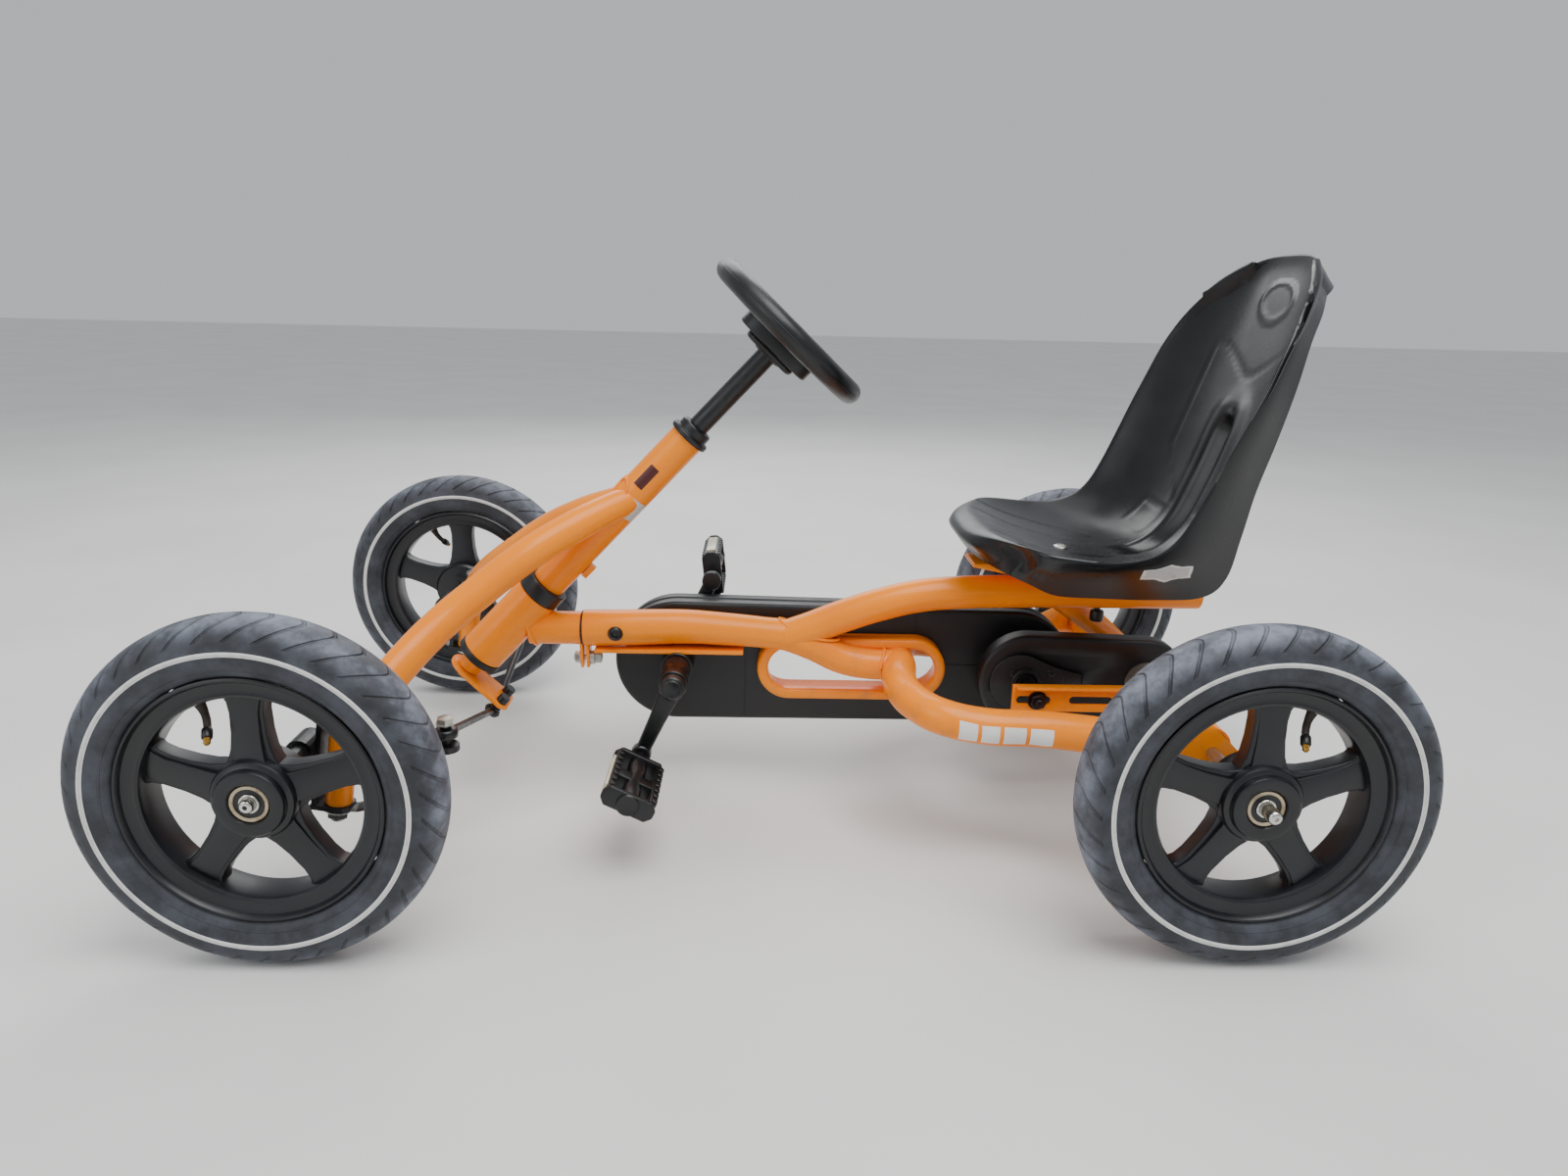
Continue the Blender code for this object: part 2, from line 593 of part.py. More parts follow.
def frame_tubes():
    """Main tube, seat tube, rear tube, axle tubes, rail brace and the flat bar under the main tube."""
    rear = tube("rear_tube", rear_path(), rear_radii(), TUBE_WALL, "orange_paint")
    for side in (1, -1):
        corner = prism("cutter", [(0, 0), (80, -75), (90, 60), (0, 60)], at(-416, side * 211, 33),
                       Vector((-1, 0, 0)), Z_AXIS, 30, "black_paint")
        combine(rear, corner)
        low, high = sorted((side * 190, side * 240))
        combine(rear, rod_y(REAR_X, 0, bore(AXLE_RADIUS), low, high))
    main = tube("main_tube", main_path(), main_radii(), TUBE_WALL, "orange_paint")
    combine(main, clearance(rear_path()[8:-8], REAR_TUBE_RADIUS))
    ear = [(-10, -42), (10, -42), (13, -19.5), (-13, -19.5)]
    combine(main, prism("ear", ear, at(JOINT_X - GAP - 2.6, 0, STUB_H), Y_AXIS, Z_AXIS, 3, "orange_paint"), "UNION")
    combine(main, rod_y(167, STUB_H + 0.4, bore(4), -60, 60))
    combine(main, rod_x("cutter", [(bore(3), JOINT_X - 8), (bore(3), JOINT_X + 2)], "black_paint",
                        at(0, 0, STUB_H - 34.5)))
    rail = [(-26, 41), (-46, 47.5), (-85, 62.5), (-128.6, 77.5), (-172, 88), (-215.7, 92.5), (-260, 94.3),
            (-482.5, 97)]
    seat_tube = tube("seat_tube", [at(x, 0, h) for x, h in rail], SEAT_TUBE_RADIUS, TUBE_WALL, "orange_paint")
    combine(seat_tube, clearance(main_path(), main_radii()))
    slot = box("cutter", (KNOB_X - 46, -3.8, HEIGHT + 60), (KNOB_X + 24, 3.8, HEIGHT + 130))
    combine(seat_tube, slot)
    box("mounting_bar", (26, -15, HEIGHT + 19.3), (192, 15, HEIGHT + STUB_H - MAIN_RADIUS - GAP), "orange_paint")
    plate_face = 211.5 - 4.5 - GAP
    for tag, low, high in (("left", 46, plate_face), ("right", -plate_face, -10)):
        axle_tube = lathe("axle_tube_" + tag, at(REAR_X, 0, 0), Y_AXIS, [
            (AXLE_TUBE_RADIUS, low), (AXLE_TUBE_RADIUS, high), (AXLE_TUBE_RADIUS - 3, high),
            (AXLE_TUBE_RADIUS - 3, low),
        ], "orange_paint")
        combine(axle_tube, clearance(rear_path(), rear_radii()))
    brace = tube("rail_brace", [at(-318, 0, 92), at(-424, -60, 14)], 12, TUBE_WALL, "orange_paint")
    combine(brace, clearance([at(x, 0, h) for x, h in rail[5:]], SEAT_TUBE_RADIUS))
    combine(brace, rod_y(REAR_X, 0, bore(AXLE_TUBE_RADIUS), -200, 0))
    plate = [(-263, -15.5), (-398, -15.5), (-398, 14.5), (-263, 14.5)]
    bracket = slab("tension_bracket", plate, 78.5, 81.5, "orange_paint")
    lip = slab("lip", [(-266, 11.5), (-398, 11.5), (-398, 14.5), (-266, 14.5)], 80, 92, "orange_paint")
    combine(bracket, lip, "UNION")
    for low_x, high_x in ((-300, -272), (-367, -329)):
        combine(bracket, slab("cutter", stadium(low_x, JACK_H, bore(4), high_x, JACK_H, bore(4), 6), 70, 90,
                              "black_paint"))
    combine(bracket, rod_y(REAR_X, 0, bore(AXLE_TUBE_RADIUS), 40, 120))


def fasteners():
    """The clamp bolt under the joint and the bolt across it."""
    centre = at(0, 0, STUB_H - 34.5)
    ear_face = JOINT_X + 3.5 + GAP
    far_face = JOINT_X - 4.1 - 2 * GAP
    rod_x("clamp_bolt", [
        (5.5, far_face - 15), (6.5, far_face - 14), (6.5, far_face - 7), (8, far_face - 7), (8, far_face),
        (3, far_face), (3, ear_face), (8, ear_face), (8, ear_face + 2), (6.5, ear_face + 2), (6.5, ear_face + 8),
    ], "zinc_steel", centre)
    face = MAIN_RADIUS + GAP
    lathe("cross_bolt", at(167, 0, STUB_H + 0.4), Y_AXIS, [
        (6, -face - 5), (7.5, -face - 4), (7.5, -face), (4, -face), (4, face), (7.5, face), (7.5, face + 4),
        (6, face + 5),
    ], "black_paint", ring=False, sides=16)


def window(radius_more):
    """The opening through the guard, grown by so much."""
    radius = WINDOW_RADIUS + radius_more
    return stadium(WINDOW_X - WINDOW_HALF_LENGTH, -3.5, radius, WINDOW_X + WINDOW_HALF_LENGTH, -3.5, radius + 0.01)


def guard_outline(less):
    """The chain guard's side view, drawn in by so much."""
    return stadium(-288, -5.5, 68 - less, 102.5, -3, 71.5 - less, 14)


def chain_guard():
    """The two half shells of the main guard, and the oval frame through them."""
    middle = (GUARD_NEAR_Y + GUARD_FAR_Y) / 2
    wall = 2.5
    clear = 2 * GAP
    for tag, face, seam in (("near", GUARD_NEAR_Y, middle + GAP / 2), ("far", GUARD_FAR_Y, middle - GAP / 2)):
        inward = -1 if face > seam else 1
        rings = []
        for y, drawn in ((seam, 0), (face + inward * 6, 0), (face, 5)):
            rings.append([at(x, y, h) for x, h in guard_outline(drawn)])
        shell = skin("guard_" + tag, rings, "black_plastic")
        low, high = sorted((seam + inward * 5, face + inward * wall))
        pocket = slab("pocket", guard_outline(wall + 3), low, high, "black_plastic")
        combine(pocket, slab("cutter", window(clear + wall), low - 5, high + 5, "black_plastic"))
        combine(shell, pocket)
        combine(shell, slab("cutter", window(clear), -90, 0, "black_plastic"))
        hole = bore(15.5) if tag == "near" else bore(8) + 1
        combine(shell, rod_y(CRANK_X, CRANK_H, hole, -90, 0))
        if tag == "near":
            combine(shell, rod_y(JACK_X, JACK_H, bore(8) + 1, -35, 0))
    ring = slab("slot_ring", window(0), -62, -5, "orange_paint")
    combine(ring, slab("cutter", window(-3), -70, 5, "black_plastic"))
    front = slab("lip", window(0), -24.7, -5, "orange_paint")
    combine(front, slab("cutter", window(-12.5), -70, 5, "black_plastic"))
    combine(front, slab("cutter", window(-3.5), -40, -9, "black_plastic"))
    combine(ring, front, "UNION")
    combine(ring, clearance(rear_path()[7:-7], REAR_TUBE_RADIUS))
    combine(ring, clearance(main_path(), main_radii()))


def second_guard():
    """The small guard over the second chain."""
    outline = stadium(REAR_X, 0, 48, -292, -2, 54, 12)
    small = stadium(REAR_X, 0, 44, -292, -2, 50, 12)
    rings = [[at(x, y, h) for x, h in shape] for y, shape in ((5, outline), (26, outline), (30, small))]
    shell = skin("rear_guard", rings, "black_plastic")
    inside = stadium(REAR_X, 0, 45.5, -292, -2, 51.5, 12)
    pocket = slab("pocket", inside, 0, 24, "black_plastic")
    combine(shell, pocket)
    combine(shell, rod_y(REAR_X, 0, 23, 0, 60))
    combine(shell, rod_y(JACK_X, JACK_H, bore(11), 0, 60))


def chains():
    """Both chains as plain bands round their sprockets."""
    for tag, y, low, high in (
        ("main", CHAIN_Y, (JACK_X, JACK_H, CHAIN_REAR_RADIUS), (CRANK_X, CRANK_H, CHAIN_FRONT_RADIUS)),
        ("second", SECOND_Y, (REAR_X, 0, SECOND_RADIUS), (JACK_X, JACK_H, SECOND_RADIUS + 0.01)),
    ):
        outer = stadium(low[0], low[1], low[2] + CHAIN_HALF, high[0], high[1], high[2] + CHAIN_HALF, 12)
        inner = stadium(low[0], low[1], low[2] - CHAIN_HALF, high[0], high[1], high[2] - CHAIN_HALF, 12)
        rings = [[at(x, y + dy, h) for x, h in shape] for dy, shape in
                 ((-3.5, outer), (3.5, outer), (3.5, inner), (-3.5, inner))]
        skin("chain_" + tag, rings, "chain_steel", closed=True)


def drive():
    """Crank axle, crank arms, pedals, the shaft between the chains and the rear axle."""
    centre = at(CRANK_X, 0, CRANK_H)
    shell = lathe("bottom_bracket", centre, Y_AXIS, [(18, -22), (18, 18.5), (bore(8), 18.5), (bore(8), -22)],
                  "black_paint")
    combine(shell, box("cutter", (60, -30, HEIGHT + 19), (140, 30, HEIGHT + 40)))
    arm_face = CRANK_FACE_Y - CRANK_THICKNESS
    disc = (CHAIN_FRONT_RADIUS - CHAIN_HALF - GAP) * math.cos(math.pi / 12)
    lathe("crank_axle", centre, Y_AXIS, [
        (8, -CRANK_FACE_Y), (8, CHAIN_Y - 2.5), (disc, CHAIN_Y - 2.5), (disc, CHAIN_Y + 2.5), (8, CHAIN_Y + 2.5),
        (8, 18.5 + GAP), (15.5, 18.5 + GAP), (15.5, arm_face - GAP), (8, arm_face - GAP), (8, CRANK_FACE_Y),
    ], "black_paint", ring=False)
    for side, tag in ((1, "left"), (-1, "right")):
        out = Vector((math.cos(CRANK_ANGLE), 0, math.sin(CRANK_ANGLE))) * side
        over = Y_AXIS.cross(out)
        tip = centre + out * CRANK_LENGTH
        middle = centre + Y_AXIS * side * (arm_face + CRANK_THICKNESS / 2)
        outline = [(6, -11), (CRANK_LENGTH - 8, -7.5), (CRANK_LENGTH - 8, 7.5), (6, 11)]
        arm = prism("crank_" + tag, outline, middle, out, over, 9, "black_paint", origin=centre)
        low, high = sorted((side * arm_face, side * CRANK_FACE_Y))
        for point, radius in ((centre, 13.5), (tip, 11)):
            eye = lathe("eye", point, Y_AXIS, [(radius, low), (radius, high)], "black_paint", ring=False, sides=16)
            combine(arm, eye, "UNION")
        combine(arm, lathe("cutter", centre, Y_AXIS, [(bore(8), low - 5), (bore(8), high + 5)], "black_paint",
                           ring=False))
        low, high = sorted((side * (CRANK_FACE_Y - 5), side * (CRANK_FACE_Y + 105)))
        spindle = lathe("spindle", tip, Y_AXIS, [(5, low), (5, high)], "black_paint", ring=False, sides=16)
        combine(arm, spindle, "UNION")
        pedal(tag, tip, side)
    jack = at(JACK_X, 0, JACK_H)
    first = (CHAIN_REAR_RADIUS - CHAIN_HALF - GAP) * math.cos(math.pi / 12)
    second = (SECOND_RADIUS - CHAIN_HALF - GAP) * math.cos(math.pi / 12)
    lathe("jack_shaft", jack, Y_AXIS, [
        (8, -52), (8, CHAIN_Y - 2.5), (first, CHAIN_Y - 2.5), (first, CHAIN_Y + 2.5), (8, CHAIN_Y + 2.5),
        (8, SECOND_Y - 2.5), (second, SECOND_Y - 2.5), (second, SECOND_Y + 2.5), (11, SECOND_Y + 2.5), (11, 34),
        (8, 34), (8, 78), (4, 78.1), (4, 82), (9, 82.1), (9, 89), (4, 89.1), (4, 93),
    ], "black_paint", ring=False)
    output = (SECOND_RADIUS - CHAIN_HALF - GAP) * math.cos(math.pi / 12)
    lathe("rear_axle", at(REAR_X, 0, 0), Y_AXIS, [
        (4, -AXLE_END_Y), (AXLE_RADIUS, -AXLE_END_Y + 2), (AXLE_RADIUS, SECOND_Y - 2.5), (output, SECOND_Y - 2.5),
        (output, SECOND_Y + 2.5), (AXLE_RADIUS, SECOND_Y + 2.5), (AXLE_RADIUS, AXLE_END_Y - 2), (4, AXLE_END_Y),
    ], "zinc_steel", ring=False)


def pedal(tag, tip, side):
    """A pedal: a barrel on the spindle between two tread bars, tipped as it hangs."""
    tip_over = Matrix.Rotation(PEDAL_TILT[tag], 3, "Y")
    low, high = sorted((side * (CRANK_FACE_Y + 17), side * (CRANK_FACE_Y + 113)))
    piece = lathe("pedal_" + tag, tip, Y_AXIS, [(10, low), (10, high)], "black_plastic", ring=False, sides=16)
    for x in (-22.5, 22.5):
        rings = [[tip + tip_over @ Vector((x + dx, y, dz)) for dx, dz in ((-6, -11), (6, -11), (6, 11), (-6, 11))]
                 for y in (low, high)]
        combine(piece, skin("bar", rings, "black_plastic"), "UNION")
    for y in (low + 5, (low + high) / 2, high - 5):
        rings = [[tip + tip_over @ Vector((dx, y + dy, dz)) for dx, dz in ((-20, -7), (20, -7), (20, 7), (-20, 7))]
                 for dy in (-5, 5)]
        combine(piece, skin("bridge", rings, "black_plastic"), "UNION")
    tool = lathe("cutter", tip, Y_AXIS, [(bore(5, 16), min(side * 90, side * 189)), (bore(5, 16), max(side * 90, side * 189))],
                 "black_paint", ring=False, sides=16)
    combine(piece, tool)


# ---------------------------------------------------------------- seat

# Rows of the seat from the front lip to the top: the middle (x, h), the rim (x, half width, h) and
# the free edge of the skirt outside it (x, half width, h).
SEAT_ROWS = [
    ((-209, 191), (-216, 122, 181), (-224, 108, 158)),
    ((-232, 178), (-231, 149, 176), (-246, 117, 155)),
    ((-275, 160), (-276, 156, 176), (-284, 119, 140)),
    ((-325, 149), (-333, 157, 172), (-330, 120, 129)),
    ((-375, 144), (-368, 157, 180), (-385, 121, 124)),
    ((-415, 150), (-387, 156, 198), (-435, 121, 126)),
    ((-447, 178), (-401, 156, 227), (-457, 121, 146)),
    ((-468, 224), (-416, 157, 261), (-466, 122, 190)),
    ((-486, 278), (-432, 159, 297), (-473, 124, 235)),
    ((-503, 332), (-449, 159, 334), (-484, 127, 283)),
    ((-517, 380), (-463, 154, 366), (-496, 126, 333)),
    ((-527, 420), (-480, 143, 396), (-508, 117, 376)),
    ((-533, 447), (-500, 118, 426), (-524, 98, 402)),
    ((-534, 463), (-519, 78, 447), (-541, 68, 420)),
]


def seat():
    """The moulded seat, the bracket that carries it along the rail and the clamp knob."""
    shares = (0.0, 0.3, 0.55, 0.76, 0.91, 1.0)
    columns = [-f for f in shares[:0:-1]] + list(shares)
    bm = bmesh.new()
    grid = []
    for (mid_x, mid_h), (rim_x, wide, rim_h), _ in SEAT_ROWS:
        row = []
        for f in columns:
            lift = abs(f) ** 3
            row.append(bm.verts.new(at(mid_x + (rim_x - mid_x) * lift, wide * f, mid_h + (rim_h - mid_h) * lift)))
        grid.append(row)
    for row, after in zip(grid, grid[1:]):
        for a, b, c, d in zip(row, row[1:], after[1:], after):
            bm.faces.new((a, b, c, d))
    edge = grid[0] + [row[-1] for row in grid[1:-1]] + grid[-1][::-1] + [row[0] for row in grid[-2:0:-1]]
    drop = {}
    for i, ((mid_x, mid_h), rim, skirt) in enumerate(SEAT_ROWS):
        for j, f in enumerate(columns):
            if i in (0, len(SEAT_ROWS) - 1):
                end_h = -32 if i == 0 else -30
                end_x = -14 if i == 0 else -31
                bend = abs(f) ** 3
                target = at((mid_x + end_x) * (1 - bend) + skirt[0] * bend, skirt[1] * f,
                            (mid_h + end_h) * (1 - bend) + skirt[2] * bend)
                drop[grid[i][j]] = target
            elif j in (0, len(columns) - 1):
                drop[grid[i][j]] = at(skirt[0], math.copysign(skirt[1], f), skirt[2])
    middle = [bm.verts.new(v.co.lerp(drop[v], 0.35) + Vector((0, v.co.y * 0.03, 0))) for v in edge]
    free = [bm.verts.new(drop[v]) for v in edge]
    for first, second in ((edge, middle), (middle, free)):
        for i in range(len(first)):
            j = (i + 1) % len(first)
            bm.faces.new((first[i], second[i], second[j], first[j]))
    bmesh.ops.recalc_face_normals(bm, faces=bm.faces[:])
    up = sum((face.normal.z for face in grid[3][5].link_faces), 0.0)
    if up < 0:
        bmesh.ops.reverse_faces(bm, faces=bm.faces[:])
    mesh = bpy.data.meshes.new("seat_shell")
    bmesh.ops.scale(bm, vec=(MM, MM, MM), verts=bm.verts[:])
    bm.to_mesh(mesh)
    bm.free()
    mesh.materials.append(material("black_plastic"))
    mesh.polygons.foreach_set("use_smooth", [True] * len(mesh.polygons))
    shell = bpy.data.objects.new("seat_shell", mesh)
    bpy.context.scene.collection.objects.link(shell)
    thick = shell.modifiers.new("Wall", "SOLIDIFY")
    thick.thickness = SEAT_WALL * MM
    thick.offset = -1
    graph = bpy.context.evaluated_depsgraph_get()
    bpy.context.view_layer.update()
    shell.data = bpy.data.meshes.new_from_object(shell.evaluated_get(graph))
    shell.modifiers.clear()
    wedge = [(-222, 128.5), (-224, 132.5), (-395, 135), (-395, 116.3), (-288, 115.5)]
    slab("seat_bracket", wedge, -26, 26, "orange_paint")
    knob = lathe("seat_knob", at(KNOB_X, 0, 0), Z_AXIS, [(6, 62), (7.35, 64), (7.35, 74), (3, 74.5), (3, 115.8)],
                 "black_plastic", ring=False, sides=16)
    return shell, knob


def main():
    """Clear the scene and build every piece."""
    for old in list(bpy.data.objects):
        bpy.data.objects.remove(old, do_unlink=True)
    wheel_set("front_left", FRONT_X, FRONT_WHEEL_Y)
    wheel_set("front_right", FRONT_X, -FRONT_WHEEL_Y)
    wheel_set("rear_left", REAR_X, REAR_WHEEL_Y)
    wheel_set("rear_right", REAR_X, -REAR_WHEEL_Y)
    front_axle()
    knuckles()
    tie_rods()
    steering()
    pivot_socket()
    frame_tubes()
    fasteners()
    chain_guard()
    second_guard()
    chains()
    drive()
    seat()


main()
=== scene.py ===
"""Looks of a child's pedal go kart, built round its packed mechanical model.

The kart's frame is loaded first and never changed.  Each sub-assembly below is a class that
models its visible pieces and gives them their finishes; every piece rides on one moving body.
Lengths in the classes are millimetres and are turned into metres where a piece is placed.
"""

import sys

import json
import logging
import math
from dataclasses import dataclass, field
from enum import Enum
from typing import Callable, Iterable, Sequence

import bmesh
import bpy
from mathutils import Matrix, Vector

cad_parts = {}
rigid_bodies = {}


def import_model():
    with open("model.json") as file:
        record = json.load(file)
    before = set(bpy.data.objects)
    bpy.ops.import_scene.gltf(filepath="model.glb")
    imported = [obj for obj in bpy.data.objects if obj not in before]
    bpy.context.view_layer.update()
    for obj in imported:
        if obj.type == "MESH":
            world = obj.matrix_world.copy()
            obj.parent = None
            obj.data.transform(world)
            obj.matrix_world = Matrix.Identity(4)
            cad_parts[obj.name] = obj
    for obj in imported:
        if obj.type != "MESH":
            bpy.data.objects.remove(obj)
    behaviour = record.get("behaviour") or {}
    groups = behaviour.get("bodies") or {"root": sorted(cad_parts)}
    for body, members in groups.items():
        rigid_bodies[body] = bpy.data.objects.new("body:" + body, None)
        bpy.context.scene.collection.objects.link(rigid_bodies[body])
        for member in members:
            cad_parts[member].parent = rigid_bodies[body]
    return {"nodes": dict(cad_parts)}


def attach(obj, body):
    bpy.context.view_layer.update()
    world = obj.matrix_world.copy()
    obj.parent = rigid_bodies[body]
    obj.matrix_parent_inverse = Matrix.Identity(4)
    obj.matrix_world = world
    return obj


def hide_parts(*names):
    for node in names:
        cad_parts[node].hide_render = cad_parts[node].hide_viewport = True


LOG = logging.getLogger("kart")
MM = 0.001
Point = tuple[float, float, float]
Flat = tuple[float, float]
Piece = bpy.types.Object
Material = bpy.types.Material
Socket = bpy.types.NodeSocket

AXLE_HEIGHT = 156.5
RAKE = math.radians(46.7)
DOWN = Vector((math.cos(RAKE), 0, -math.sin(RAKE)))
ACROSS = Vector((math.sin(RAKE), 0, math.cos(RAKE)))
ALONG_Y = Vector((0, 1, 0))
HEAD_TOP = Vector((88.3, 0, 415.5))

Value = Socket | str | float | Point | None
SMOOTH = {"interpolation_type": "SMOOTHSTEP"}
COLOURS = {"data_type": "RGBA"}


class Slot(Enum):
    """The record's material slots."""

    ORANGE = "orange_paint"
    BLACK_PAINT = "black_paint"
    PLASTIC = "black_plastic"
    TYRE = "tyre_rubber"
    ZINC = "zinc_steel"
    VALVE = "valve_rubber"


def on_axis(down: float, across: float = 0, side: float = 0) -> Vector:
    """A point by its place on the steering line.

    Args:
        down: distance below the top of the head tube.
        across: distance square to the line, up and forward.
        side: distance to the driver's left.

    Returns:
        The point in millimetres.
    """
    return HEAD_TOP + DOWN * down + ACROSS * across + ALONG_Y * side


def at(x: float, y: float, h: float) -> Vector:
    """A point by its height over the axle line."""
    return Vector((x, y, AXLE_HEIGHT + h))


def linear(colour: str) -> tuple[float, float, float, float]:
    """Turn an sRGB hex colour into the linear colour that shaders take.

    Args:
        colour: six hex digits.

    Returns:
        Linear red, green, blue and alpha.
    """
    channels = []
    for start in (0, 2, 4):
        value = int(colour[start:start + 2], 16) / 255
        channels.append(value / 12.92 if value <= 0.04045 else ((value + 0.055) / 1.055) ** 2.4)
    return channels[0], channels[1], channels[2], 1


# ------------------------------------------------------------------ finishes


class NodeSheet:
    """One material and the nodes that are added to it."""

    def __init__(self, name: str) -> None:
        """Start a material with a Principled shader and the piece's own coordinates.

        Args:
            name: the material's name.
        """
        self.material = bpy.data.materials.new(name)
        self.material.use_nodes = True
        self.tree = self.material.node_tree
        self.shader = self.tree.nodes["Principled BSDF"]
        self.coordinates = self.tree.nodes.new("ShaderNodeTexCoord")
        self.place = self.coordinates.outputs["Object"]

    def feed(self, socket: Socket, value: Value) -> None:
        """Give an input its value.

        Args:
            socket: the input.
            value: another node's output, which is linked, or a hex colour, number or vector.
        """
        if isinstance(value, Socket):
            self.tree.links.new(value, socket)
        elif isinstance(value, str):
            socket.default_value = linear(value)
        else:
            socket.default_value = value

    def add(self, kind: str, inputs: dict[str | int, Value], output: int = 0, **settings: object) -> Socket:
        """Add a node with its settings and links.

        Args:
            kind: the node's type.
            inputs: what each named or numbered input takes.
            output: the output that is wanted.
            settings: the node's own options.

        Returns:
            That output.
        """
        node = self.tree.nodes.new("ShaderNode" + kind)
        for option, choice in settings.items():
            setattr(node, option, choice)
        for socket, value in inputs.items():
            self.feed(node.inputs[socket], value)
        return node.outputs[output]

    def wire(self, colour: Value, roughness: Value, normal: Value, **sockets: float) -> Material:
        """Join the finished colour, roughness and normal to the shader.

        Args:
            colour: the base colour.
            roughness: the roughness.
            normal: the bumped normal, or None for a plain surface.
            sockets: other shader inputs, with _ for each space in their names.

        Returns:
            The material.
        """
        self.feed(self.shader.inputs["Base Color"], colour)
        self.feed(self.shader.inputs["Roughness"], roughness)
        if normal is not None:
            self.feed(self.shader.inputs["Normal"], normal)
        for socket, value in sockets.items():
            self.shader.inputs[socket.replace("_", " ")].default_value = value
        return self.material


@dataclass(frozen=True)
class PowderCoat:
    """Glossy baked powder paint with its fine orange peel and a film of road dust low down.

    Noise scales are blotches to the metre; heights are metres over the ground.
    """

    name: str
    colour: str
    shade: str
    coat: float
    dust: str = "8F7A5E"
    scuff: str = "F4C483"
    roughness: float = 0.3
    cloud_scale: float = 9.0
    patch_scale: float = 38.0
    scuff_scale: float = 210.0
    peel_scale: float = 420.0
    peel_depth: float = 0.00012
    dust_from: float = 0.08
    dust_to: float = 0.24
    dust_share: float = 0.5
    scuff_share: float = 0.35

    def build(self) -> Material:
        """Make the material.

        Returns:
            The finished material.
        """
        sheet = NodeSheet(self.name)
        cloud = sheet.add("TexNoise", {"Vector": sheet.place, "Scale": self.cloud_scale, "Detail": 4.0})
        shade = sheet.add("MapRange", {0: cloud, 1: 0.35, 2: 0.7}, **SMOOTH)
        base = sheet.add("Mix", {0: shade, 6: self.colour, 7: self.shade}, 2, **COLOURS)
        # Dust settles in patches below the axle height and thins out above it.
        height = sheet.add("SeparateXYZ", {0: sheet.place}, 2)
        low = sheet.add("MapRange", {0: height, 1: self.dust_from, 2: self.dust_to, 3: self.dust_share,
            4: 0.0}, **SMOOTH)
        patch = sheet.add("TexNoise", {"Vector": sheet.place, "Scale": self.patch_scale, "Detail": 6.0,
            "Roughness": 0.7})
        patch = sheet.add("MapRange", {0: patch, 1: 0.48, 2: 0.72}, **SMOOTH)
        dusty = sheet.add("Math", {0: low, 1: patch}, operation="MULTIPLY")
        base = sheet.add("Mix", {0: dusty, 6: base, 7: self.dust}, 2, **COLOURS)
        # A few pale scuffs of a millimetre or two.
        scuff = sheet.add("TexNoise", {"Vector": sheet.place, "Scale": self.scuff_scale, "Detail": 3.0,
            "Roughness": 0.6})
        scuff = sheet.add("MapRange", {0: scuff, 1: 0.74, 2: 0.78, 3: 0.0, 4: self.scuff_share}, **SMOOTH)
        base = sheet.add("Mix", {0: scuff, 6: base, 7: self.scuff}, 2, **COLOURS)
        matt = sheet.add("Math", {0: dusty, 1: 0.4}, operation="MULTIPLY")
        gloss = sheet.add("MapRange", {0: cloud, 1: 0.3, 2: 0.7, 3: self.roughness - 0.04,
            4: self.roughness + 0.05}, **SMOOTH)
        rough = sheet.add("Math", {0: matt, 1: gloss}, operation="ADD")
        # The peel is drawn about as coarse as it can be and still read as paint.
        peel = sheet.add("TexNoise", {"Vector": sheet.place, "Scale": self.peel_scale, "Detail": 2.0})
        peel = sheet.add("Bump", {"Distance": self.peel_depth, "Strength": 0.45, "Height": peel})
        return sheet.wire(base, rough, peel, Coat_Weight=self.coat, Coat_Roughness=0.09,
            Specular_IOR_Level=0.22)


@dataclass(frozen=True)
class MouldedPlastic:
    """Moulded plastic: a fine spark-eroded grain, faint flow marks, pale dust and rubbed patches."""

    name: str
    colour: str
    pale: str
    roughness: float = 0.42
    grain_mm: float = 0.7
    grain_depth_mm: float = 0.05
    haze: float = 0.35
    flow_scale: float = 14.0
    scratch_scale: Point = (30, 420, 60)
    scratch_turn: Point = (0.3, 0.5, 0.7)
    scratch_share: float = 0.22

    def build(self) -> Material:
        """Make the material.

        Returns:
            The finished material.
        """
        sheet = NodeSheet(self.name)
        flow = sheet.add("TexNoise", {"Vector": sheet.place, "Scale": self.flow_scale, "Detail": 5.0,
            "Roughness": 0.6})
        haze = sheet.add("MapRange", {0: flow, 1: 0.42, 2: 0.75, 3: 0.0, 4: self.haze}, **SMOOTH)
        base = sheet.add("Mix", {0: haze, 6: self.colour, 7: self.pale}, 2, **COLOURS)
        # Long thin rubs, all one way.
        rubs = sheet.add("Mapping", {"Scale": self.scratch_scale, "Rotation": self.scratch_turn,
            "Vector": sheet.place})
        rubs = sheet.add("TexNoise", {"Vector": rubs, "Scale": 1.0, "Detail": 2.0})
        rubs = sheet.add("MapRange", {0: rubs, 1: 0.70, 2: 0.76, 3: 0.0, 4: self.scratch_share}, **SMOOTH)
        base = sheet.add("Mix", {0: rubs, 6: base, 7: self.pale}, 2, **COLOURS)
        rough = sheet.add("MapRange", {0: flow, 1: 0.3, 2: 0.75, 3: self.roughness - 0.06,
            4: self.roughness + 0.1}, **SMOOTH)
        grain = sheet.add("TexNoise", {"Vector": sheet.place, "Scale": 1000.0 / self.grain_mm, "Detail": 2.0})
        grain = sheet.add("Bump", {"Distance": self.grain_depth_mm * MM, "Strength": 0.5, "Height": grain})
        return sheet.wire(base, rough, grain)


